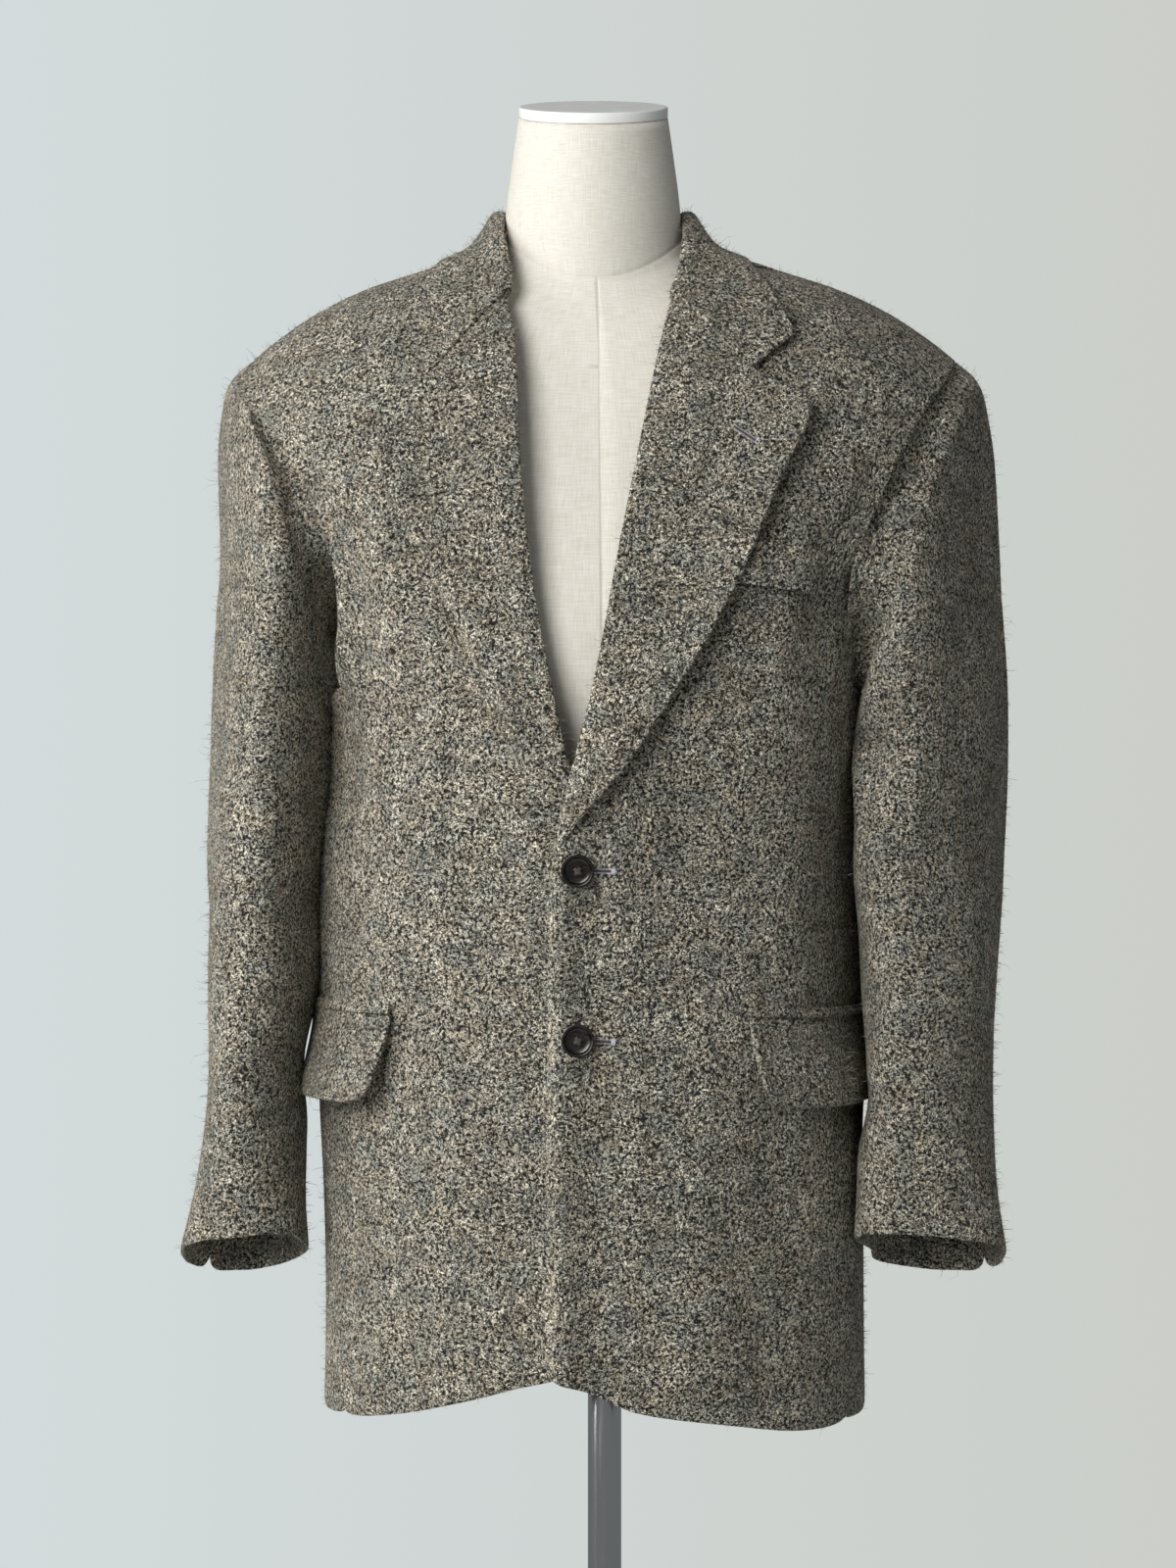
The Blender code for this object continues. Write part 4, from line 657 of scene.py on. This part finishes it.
# ---- the sleeves
# Two-piece sleeves: a wide top sleeve and a narrow under sleeve, sewn down the front
# and back of the arm and set into the armhole. The cuffs are turned up, open below.
ARM_LINES = {
    "left": ((0.196, -0.004, 1.2), (0.212, -0.036, 0.77)),
    "right": ((-0.203, -0.004, 1.2), (-0.222, -0.036, 0.77)),
}
SLEEVE_FOLDS = {
    "left": (
        ("left", (-0.02, 1.18), (-0.06, 1.02), 0.017, -0.002),
        ("left", (0.03, 1.11), (-0.01, 0.96), 0.019, 0.002),
        ("front", (0.235, 1.12), (0.226, 0.93), 0.015, 0.0022),
        ("front", (0.205, 1.08), (0.196, 0.96), 0.013, -0.002),
        ("front", (0.202, 0.96), (0.232, 0.9), 0.011, -0.0018),
        ("front", (0.196, 0.9), (0.224, 0.838), 0.012, 0.0016),
        ("back", (0.2, 1.14), (0.215, 0.98), 0.017, 0.002),
        ("back", (0.222, 0.99), (0.196, 0.93), 0.012, -0.002),
    ),
    "right": (
        ("right", (-0.01, 1.17), (-0.05, 1.01), 0.017, 0.002),
        ("right", (0.035, 1.08), (0.0, 0.93), 0.018, -0.002),
        ("front", (-0.238, 1.15), (-0.232, 0.96), 0.014, -0.002),
        ("front", (-0.212, 1.06), (-0.206, 0.94), 0.013, 0.0018),
        ("front", (-0.243, 0.975), (-0.212, 0.925), 0.011, -0.0018),
        ("front", (-0.226, 0.9), (-0.236, 0.81), 0.014, 0.0018),
        ("back", (-0.215, 1.12), (-0.205, 0.97), 0.017, -0.002),
        ("back", (-0.204, 0.96), (-0.232, 0.9), 0.012, 0.002),
    ),
}
# Both sleeves turn back where they meet the body, and the left one along its outer half too.
SLEEVE_PRESSES = {
    "right": (
        ((-0.15, 1.16), (-0.152, 0.99), 0.033, 0.13, 0.0),
        ((-0.158, 0.96), (-0.172, 0.85), 0.028, 0.06, 0.01),
    ),
    "left": (
        ((0.262, 1.23), (0.262, 1.04), 0.06, 0.075, 0.008),
        ((0.268, 1.0), (0.268, 0.87), 0.05, 0.045, 0.004),
        ((0.16, 1.15), (0.162, 1.09), 0.022, 0.024, 0.0),
        ((0.162, 1.078), (0.164, 1.045), 0.02, 0.02, 0.005),
        ((0.172, 1.04), (0.18, 0.88), 0.016, 0.0, -0.006),
    ),
}
SLEEVE_CUTS = {
    "sleeve_top_left": ((0.245, 0.64), 0.125),
    "sleeve_top_right": ((0.245, 0.645), 0.131),
    "sleeve_under_left": ((0.2, 0.57), 0.099),
    "sleeve_under_right": ((0.18, 0.565), 0.083),
}


def from_the_arm(side):
    """The way out from the middle line of one sleeve."""
    high, low = (np.array(p) for p in ARM_LINES[side])

    def way_out(points):
        share = ((points[:, 2] - high[2]) / (low[2] - high[2]))[:, None]
        return level_way(points, high + (low - high) * share)

    return way_out


for node, (flat, area) in SLEEVE_CUTS.items():
    side = node.rsplit("_", 1)[1]
    over = ["tweed_front_" + side, "tweed_back_" + side]
    hangs = (SLEEVE_FOLDS[side], SLEEVE_PRESSES[side], from_the_arm(side), "hung", over)
    jacket[node] = sew_in(node, flat, area, *hangs)

# ---- the lapels and the collar
# The fronts' facings turned back at the roll line, and a collar sewn to them along
# the gorge seam and round the neck. Two thicknesses of tweed over canvas, so soft-edged.
TURNED_CUTS = {
    "lapel_left": ((0.108, 0.37), 0.0228),
    "lapel_right": ((0.11, 0.37), 0.0215),
    "collar": ((0.115, 0.46), 0.043),
}
# The free edge of each stands off the front by its own thickness and spring.
TURNED_FOLDS = {
    "lapel_left": (
        ("front", (0.118, 1.285), (0.07, 1.165), 0.024, 0.0088),
        ("front", (0.05, 1.14), (-0.01, 1.06), 0.02, 0.0086),
        ("front", (0.118, 1.3), (0.095, 1.312), 0.012, 0.0025),
    ),
    "lapel_right": (
        ("front", (-0.134, 1.254), (-0.0293, 1.041), 0.014, 0.0052),
        ("front", (-0.139, 1.252), (-0.034, 1.035), 0.006, -0.004),
    ),
    "collar": (),
}
LAPEL_LEFT_EDGE = (
    (0.094, 1.315), (0.118, 1.299), (0.1165, 1.280), (0.088, 1.216),
    (0.050, 1.140), (0.002, 1.066), (-0.026, 1.040),
)
LAPEL_RIGHT_EDGE = (
    (-0.113, 1.313), (-0.138, 1.300), (-0.134, 1.254), (-0.121, 1.207),
    (-0.084, 1.130), (-0.050, 1.072), (-0.030, 1.044),
)
TURNED_EDGES = {
    "lapel_left": ((LAPEL_LEFT_EDGE, 0.002),),
    "lapel_right": ((LAPEL_RIGHT_EDGE, 0.0019),),
    "collar": (
        (((0.092, 1.32), (0.119, 1.3425), (0.113, 1.352), (0.102, 1.38)), 0.0017),
        (((-0.113, 1.316), (-0.134, 1.328), (-0.122, 1.362)), 0.0015),
    ),
}
for node, (flat, area) in TURNED_CUTS.items():
    folds = BODY_FOLDS[:8] * (node != "collar") + TURNED_FOLDS[node]
    hangs = (folds, (), from_the_middle, "folded", ["tweed_front_left", "tweed_front_right"])
    fine = {"rim": 0.45, "levels": 2 if node == "collar" else 3, "edges": TURNED_EDGES[node]}
    jacket[node] = sew_in(node, flat, area, *hangs, **fine)

# ---- the pockets
# Two flap pockets, each flap under a narrow jet, and a welt across the breast: all
# cut from the same tweed, turned and pressed.
POCKET_CUTS = {
    "flap_left": ((0.168, 0.063), 0.0104, "hung"),
    "flap_right": ((0.158, 0.061), 0.0091, "hung"),
    "jet_left": ((0.168, 0.0105), 0.0013, "stretched"),
    "jet_right": ((0.158, 0.0105), 0.0011, "stretched"),
    "breast_welt": ((0.108, 0.034), 0.0032, "stretched"),
}
# How each stands off the front: along the bottom of a flap, along a welt or a jet.
POCKET_LIES = {
    "flap_left": ("front", (0.092, 0.872), (0.155, 0.868), 0.026, 0.0115),
    "flap_right": ("front", (-0.190, 0.876), (-0.140, 0.876), 0.026, 0.0110),
    "breast_welt": ("front", (0.035, 1.197), (0.130, 1.197), 0.030, 0.0060),
    "jet_left": ("front", (0.085, 0.918), (0.170, 0.912), 0.030, 0.0048),
    "jet_right": ("front", (-0.190, 0.920), (-0.130, 0.920), 0.030, 0.0048),
}
POCKET_EDGES = {
    "flap_left": ((((0.0885, 0.914), (0.0895, 0.88), (0.1, 0.861), (0.165, 0.857)), 0.0023),),
    "jet_left": ((((0.0865, 0.9187), (0.147, 0.9125), (0.168, 0.908)), 0.0021),),
    "jet_right": ((((-0.1315, 0.9186), (-0.16, 0.9178), (-0.187, 0.9157)), 0.0021),),
    "flap_right": ((((-0.1335, 0.912), (-0.135, 0.89), (-0.15, 0.865), (-0.192, 0.866)), 0.0021),),
}
for node, (flat, area, held) in POCKET_CUTS.items():
    side = "left" if node == "breast_welt" else node.rsplit("_", 1)[1]
    hangs = (BODY_FOLDS + (POCKET_LIES[node],), BODY_PRESSES, from_the_middle, held, ["tweed_front_" + side])
    jacket[node] = sew_in(node, flat, area, *hangs, rim=0.45, levels=3, edges=POCKET_EDGES.get(node, ()))

# ---- the buttons
# Dark brown horn, turned with a rounded rim and a dished middle, four holes each,
# sewn on with brown thread crossed twice: two large at the front, four at each cuff.

# Polished horn: near black, with brown streaks that glow a little at the rim under
# a clear, slightly wavy polish.
horn, grown, polish = new_finish("turned_polished_horn")
where = add_node(grown, "TexCoord", out="Object")
drawn = add_node(grown, "Mapping", Vector=where, Rotation=(0.4, 0.2, 0.5), Scale=(160, 520, 900))
streaks = add_node(grown, "TexNoise", Vector=drawn, Scale=1.0, Detail=4.0, Distortion=0.8)
brown = add_node(grown, "MapRange", Value=streaks, From_Min=0.45, From_Max=0.72)
tone = add_node(grown, "Mix", RGBA, 2, _0=brown, _6="#060505", _7="#221912")
dull = add_node(grown, "MapRange", Value=streaks, From_Min=0.3, From_Max=0.7, To_Min=0.18, To_Max=0.30)
add_node(grown, polish, Base_Color=tone, Roughness=dull, IOR=1.5, Coat_Weight=0.1, Coat_Roughness=0.12)

# Spun buttonhole silk and button thread: smooth, with a soft lustre along the strand.
THREADS = {"brown_button_thread": ("#2A2421", "#4B4038"), "grey_buttonhole_silk": ("#A3A2B0", "#DAD9E4")}
threads = {}
for name, (dark, light) in THREADS.items():
    threads[name], spun, strand = new_finish(name)
    where = add_node(spun, "TexCoord", out="Object")
    twist = add_node(spun, "TexNoise", Vector=where, Scale=2600.0, Detail=2.0)
    tone = add_node(spun, "Mix", RGBA, 2, _0=twist, _6=dark, _7=light)
    add_node(spun, strand, Base_Color=tone, Roughness=0.55, Sheen_Weight=0.3)

# The face of a button, from its rim inwards: the width of each ring, as a share of the
# radius, and how far its inner edge sinks, as a share of the height.
BUTTON_FACE = ((0.16, 0.0), (0.10, 0.34), (0.14, 0.10), (0.16, 0.0))


def turn_button(radius, height):
    """One button, face up, with its sewing thread, made once for each size. Its parts are shares of that size."""
    begin()
    bpy.ops.mesh.primitive_cylinder_add(vertices=48, radius=radius, depth=height, location=(0, 0, height / 2))
    disc = bpy.context.object
    choose(disc, faces=lambda f: f.normal.z > 0.9)
    for ring, sinks in BUTTON_FACE:
        bpy.ops.mesh.inset(thickness=radius * ring)
        bpy.ops.transform.translate(value=(0, 0, -height * sinks))
    choose(disc, faces=lambda f: f.normal.z < -0.9)
    bpy.ops.transform.resize(value=(0.80, 0.80, 1), center_override=(0, 0, 0))
    choose(disc, edges=lambda e: sharp(0.35)(e) and min(v.co.xy.length for v in e.verts) > radius * 0.70)
    bpy.ops.mesh.bevel(offset=height * 0.09, segments=3, affect="EDGES")
    bpy.ops.object.mode_set(mode="OBJECT")
    spread = radius * 0.20
    for across, up in ((1, 1), (-1, 1), (1, -1), (-1, -1)):
        begin()
        corner = (across * spread, up * spread, height / 2)
        bpy.ops.mesh.primitive_cylinder_add(vertices=14, radius=radius * 0.088, depth=height * 4, location=corner)
        drill = bpy.context.object
        pick(disc)
        hole = disc.modifiers.new("hole", "BOOLEAN")
        hole.object = drill
        hole.solver = "EXACT"
        bpy.ops.object.modifier_apply(modifier="hole")
        bpy.data.objects.remove(drill)
    smooth(disc, 32)
    strands = []
    for turn, lift in ((math.pi / 4, 0.0), (math.pi * 3 / 4, radius * 0.05)):
        for side in (-1, 1):
            begin()
            place = {"location": (0, 0, height * 0.60 + lift), "rotation": (0, 0, turn)}
            bulk = (spread * 1.50, radius * 0.062, radius * 0.075)
            bpy.ops.mesh.primitive_uv_sphere_add(segments=8, ring_count=10, radius=1, scale=bulk, **place)
            beside = side * radius * 0.05
            bpy.ops.transform.translate(value=(-math.sin(turn) * beside, math.cos(turn) * beside, 0))
            bpy.ops.object.transform_apply(location=True, rotation=True, scale=True)
            strands.append(bpy.context.object)
    pick(strands[0])
    for strand in strands:
        strand.select_set(True)
    bpy.ops.object.join()
    bpy.ops.object.shade_smooth()
    begin()
    return disc, strands[0]


def lie_of(node):
    """The middle of a round flat solid, and the way that it faces."""
    points = np.array([v.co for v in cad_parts[node].data.vertices], float)
    middle = points.mean(0)
    spread = np.linalg.eigh(np.cov((points - middle).T))
    return Vector((points.min(0) + points.max(0)) / 2), Vector(spread[1][:, 0])


SEAT_RAYS, SEAT_GAP = 12, 0.0002  # where the cloth is felt under a button, and how far off it the button sits
CLEAR = 0.62  # how far round a button or a buttonhole no mohair stands, as a share of its length


def sew_on(button, node, cloth, out, turn):
    """A copy of the turned button, sewn to the cloth where its solid sits."""
    middle, facing = lie_of(node)
    if facing.dot(out) < 0:
        facing = -facing
    rest = []
    for number in range(SEAT_RAYS):
        round_it = facing.orthogonal() * (button[0].dimensions.x * 0.45 * (number % 2 or 0.5))
        round_it.rotate(Quaternion(facing, math.tau * number / SEAT_RAYS))
        spot = cloth.ray_cast(middle + round_it + facing * 0.03, -facing)[0]
        if spot:
            rest.append((spot - middle).dot(facing))
    spot = middle + facing * max(rest or [0.0])  # the highest cloth that the button touches
    upright = facing.to_track_quat("Z", "Y").to_matrix().to_4x4() @ Matrix.Rotation(turn, 4, "Z")
    for source, name, finish, stands_for in zip(
        button, (node + "_horn", node + "_thread"), (horn, threads["brown_button_thread"]), ((node,), ())
    ):
        copy = lay_out(source.data.copy())
        copy.data.transform(Matrix.Translation(spot + facing * SEAT_GAP) @ upright)
        settle(copy, name, finish, "horn", *stands_for)
    kept_clear.append((spot, button[0].dimensions.x * CLEAR))


kept_clear = []  # where no mohair stands: the middle of each button and buttonhole, and how far round it
fronts = cloth_surface(jacket["front_left"])
large = turn_button(0.0103, 0.0042)
for node, turn in (("button_upper", 0.12), ("button_lower", -0.30)):
    sew_on(large, node, fronts, Vector((0, -1, 0)), turn)
small = turn_button(0.0075, 0.0032)
for side, out in (("left", 1), ("right", -1)):
    cuff = cloth_surface(jacket["sleeve_top_" + side], jacket["sleeve_under_" + side])
    for number in (1, 2, 3, 4):
        sew_on(small, f"cuff_button_{side}_{number}", cuff, Vector((out, 0, 0)), 0.5 * number)
for master in large + small:
    bpy.data.objects.remove(master)

# ---- the buttonholes
# Worked by hand in grey silk: close purl stitches across each cut edge, a fan of them
# round the eyelet and a bar tack at the end. One stands open on the left lapel.
SILK, SILK_PITCH = 0.00030, 0.00085  # half the width of one stitch, and from one to the next
FAN, TACK = 14, 5  # how many stitches go round an eyelet, and into a bar tack


def stitch(work, start, end, normal, half=SILK):
    """One raised stitch between two points on the cloth, as a closed spindle of thread."""
    along = (end - start).normalized()
    across = along.cross(normal).normalized()
    rings = []
    for share, swell in ((0.16, 0.75), (0.5, 1.0), (0.84, 0.75)):
        middle = start.lerp(end, share) + normal * half * (0.5 + 0.7 * math.sin(math.pi * share))
        wide, high = across * half * swell, normal * half * swell
        turns = (0.0, 1.257, 2.513, 3.770, 5.027)
        rings.append([work.verts.new(middle + wide * math.cos(turn) + high * math.sin(turn)) for turn in turns])
    tips = work.verts.new(start - normal * half * 0.3), work.verts.new(end - normal * half * 0.3)
    for i in range(5):
        j = (i + 1) % 5
        work.faces.new((tips[0], rings[0][j], rings[0][i]))
        for lower, upper in zip(rings, rings[1:]):
            work.faces.new((lower[i], lower[j], upper[j], upper[i]))
        work.faces.new((tips[1], rings[2][i], rings[2][j]))


def buttonhole(name, cloth, start, end, half_width, eyelet=0.0, tack=0.0):
    """A worked hole along the cloth, from start to end as (x, z) seen from the front, with a dark strip in it that
    is painted shade for the slit.
    """
    work, slit_painted_shade = bmesh.new(), bmesh.new()
    random.seed(11)
    first, last = Vector((start[0], 0, start[1])), Vector((end[0], 0, end[1]))
    line = last - first
    line_way = line.normalized()
    side = Vector((-line.z, 0, line.x)).normalized()

    def sew(inner, outer, lean=0.0, half=SILK):
        a, normal = seen_on(cloth, *inner.xz)
        stitch(work, a, seen_on(cloth, *outer.xz)[0], normal + line_way * lean, half)

    count = int(line.length / SILK_PITCH)
    for edge in (-1, 1):
        for number in range(count + 1):
            place = first + line * (number / count) + line_way * random.uniform(-0.12, 0.12) * SILK_PITCH
            reach = side * edge * half_width
            sew(place + reach * 0.42, place + reach * random.uniform(0.94, 1.06))
    for number in range(FAN if eyelet else 0):
        turn = math.tau * number / FAN
        ray = (line_way * math.cos(turn) + side * math.sin(turn)) * eyelet
        sew(last + ray * 0.55, last + ray * 1.25)
    for number in range(TACK if tack else 0):
        middle = last + line_way * (number - 1.5) * SILK * 1.7
        sew(middle + side * tack, middle - side * tack, 0.2, SILK * 1.15)
    rows = []  # of the slit's painted shade: a thin dark strip that lies just proud of the cloth
    for number in range(9):
        corners = []
        for edge in (-1, 1):
            spot, normal = seen_on(cloth, *(first + line * (number / 8) + side * edge * half_width * 0.50).xz)
            corners += [spot + normal * 0.00012, spot - normal * 0.0004]
        rows.append([slit_painted_shade.verts.new(corners[i]) for i in (0, 2, 3, 1)])
    for a, b in zip(rows, rows[1:]):
        for i in range(4):
            j = (i + 1) % 4
            slit_painted_shade.faces.new((a[i], a[j], b[j], b[i]))
    slit_painted_shade.faces.new(rows[0][::-1])
    slit_painted_shade.faces.new(rows[-1])
    for made, part, thread in ((work, "_silk", "grey_buttonhole_silk"), (slit_painted_shade, "_slit", "brown_button_thread")):
        bmesh.ops.recalc_face_normals(made, faces=made.faces)
        mesh = bpy.data.meshes.new(name + part)
        made.to_mesh(mesh)
        made.free()
        mesh.shade_smooth()
        settle(lay_out(mesh), name + part, threads[thread], "tweed")
    kept_clear.append((seen_on(cloth, *((first + last) / 2).xz)[0], line.length * CLEAR))


for name, level in (("upper_hole", 1.0087), ("lower_hole", 0.9048)):
    buttonhole(name, fronts, (-0.0150, level), (0.0042, level - 0.0006), 0.0017, tack=0.0023)
lapel_cloth = cloth_surface(jacket["lapel_left"])
buttonhole("lapel_hole", lapel_cloth, (0.0789, 1.2810), (0.0934, 1.2711), 0.0016, eyelet=0.0013)

# ---- the mohair
# The long fibres of the yarn, brushed up in the mill: a short curly down all over the
# cloth and a few longer hairs, which show most along the edges against the light.

# Single mohair fibres: translucent grey-cream, glossy along their length.
hair_finish, fibre, glow = new_finish("brushed_mohair_fibre")
where = add_node(fibre, "TexCoord", out="Object")
patches = add_node(fibre, "TexNoise", Vector=where, Scale=420.0, Detail=1.0)
dye = add_node(fibre, "MapRange", Value=patches, From_Min=0.38, From_Max=0.62)
tone = add_node(fibre, "Mix", RGBA, 2, _0=dye, _6="#4F4B43", _7="#A9A293")
add_node(fibre, glow, Base_Color=tone, Roughness=0.5, Specular_IOR_Level=0.4, Sheen_Weight=0.2)

HAIR_HALF = 0.00014  # mohair is about 0.03 mm thick; drawn thicker, so that it shows
HAIRS_HERE = {
    "front_left": 9500, "front_right": 8600, "side_left": 3000, "side_right": 3000, "back_left": 8600,
    "back_right": 8600, "sleeve_top_left": 11200, "sleeve_top_right": 11200, "sleeve_under_left": 5600,
    "sleeve_under_right": 5600, "lapel_left": 3400, "lapel_right": 3400, "collar": 5200,
    "flap_left": 1300, "flap_right": 1300,
}
LONG_HAIRS = 0.30  # this share is long and bent, the rest short and straight
FREE_FROM, FREE_TO = 0.0012, 0.010  # hairs stand only where nothing lies between these heights over the cloth
TRIANGLE = (0.0, math.tau / 3, math.tau * 2 / 3)  # the turns of a hair's three sides
everything = cloth_surface(*jacket.values())
for seed, (node, count) in enumerate(HAIRS_HERE.items()):
    dice = np.random.default_rng(300 + seed)
    mesh = jacket[node].data
    areas = np.array([p.area for p in mesh.polygons])
    middles = np.array([p.center for p in mesh.polygons])
    open_air = np.array(
        [everything.ray_cast(p.center + p.normal * FREE_FROM, p.normal, FREE_TO)[0] is None for p in mesh.polygons]
    )
    for spot, round_it in kept_clear:
        open_air &= np.linalg.norm(middles - np.array(spot), axis=1) > round_it
    chosen = dice.choice(len(areas), count, p=areas * open_air / (areas * open_air).sum())
    points, faces = [], []
    for number, face_number in enumerate(chosen):
        polygon = mesh.polygons[face_number]
        corners = np.array([mesh.vertices[i].co for i in polygon.vertices])
        root = dice.dirichlet([1.0] * len(corners)) @ corners
        normal = np.array(polygon.normal)
        comb = dice.normal(size=3) + np.array([0, 0, -0.35])
        comb -= normal * (comb @ normal)
        comb /= np.linalg.norm(comb)
        across = np.cross(normal, comb)
        # A long hair reaches 2 to 10 mm, a short one 1 to 3 mm. Both lean a little down the cloth.
        long_one = number < count * LONG_HAIRS
        reach = dice.gamma(3.0, 0.0013) + 0.0015 if long_one else dice.uniform(0.0012, 0.0034)
        rise = dice.uniform(0.35, 1.0)
        tip = root + (normal * rise + comb * (1.1 - rise * 0.6) + across * dice.normal(0, 0.35)) * reach
        bend = root + (normal * (rise + 0.25) + comb * 0.25) * reach * 0.5
        spine = [root - normal * 0.0004, bend, tip] if long_one else [root - normal * 0.0004, tip]
        start = len(points)
        for level, half in enumerate((1.0, 0.75)[: len(spine) - 1]):
            for turn in TRIANGLE:
                points.append(spine[level] + (across * math.cos(turn) + comb * math.sin(turn)) * HAIR_HALF * half)
        points.append(spine[-1])
        top = len(points) - 1
        faces.append((start + 2, start + 1, start))
        for i in range(3):
            j = (i + 1) % 3
            if long_one:
                faces.append((start + i, start + j, start + 3 + j, start + 3 + i))
            faces.append((top - 3 + i, top - 3 + j, top))
    name = "mohair_" + node
    mesh = bpy.data.meshes.new(name)
    mesh.from_pydata(points, [], faces)
    settle(lay_out(mesh), name, hair_finish, "tweed")
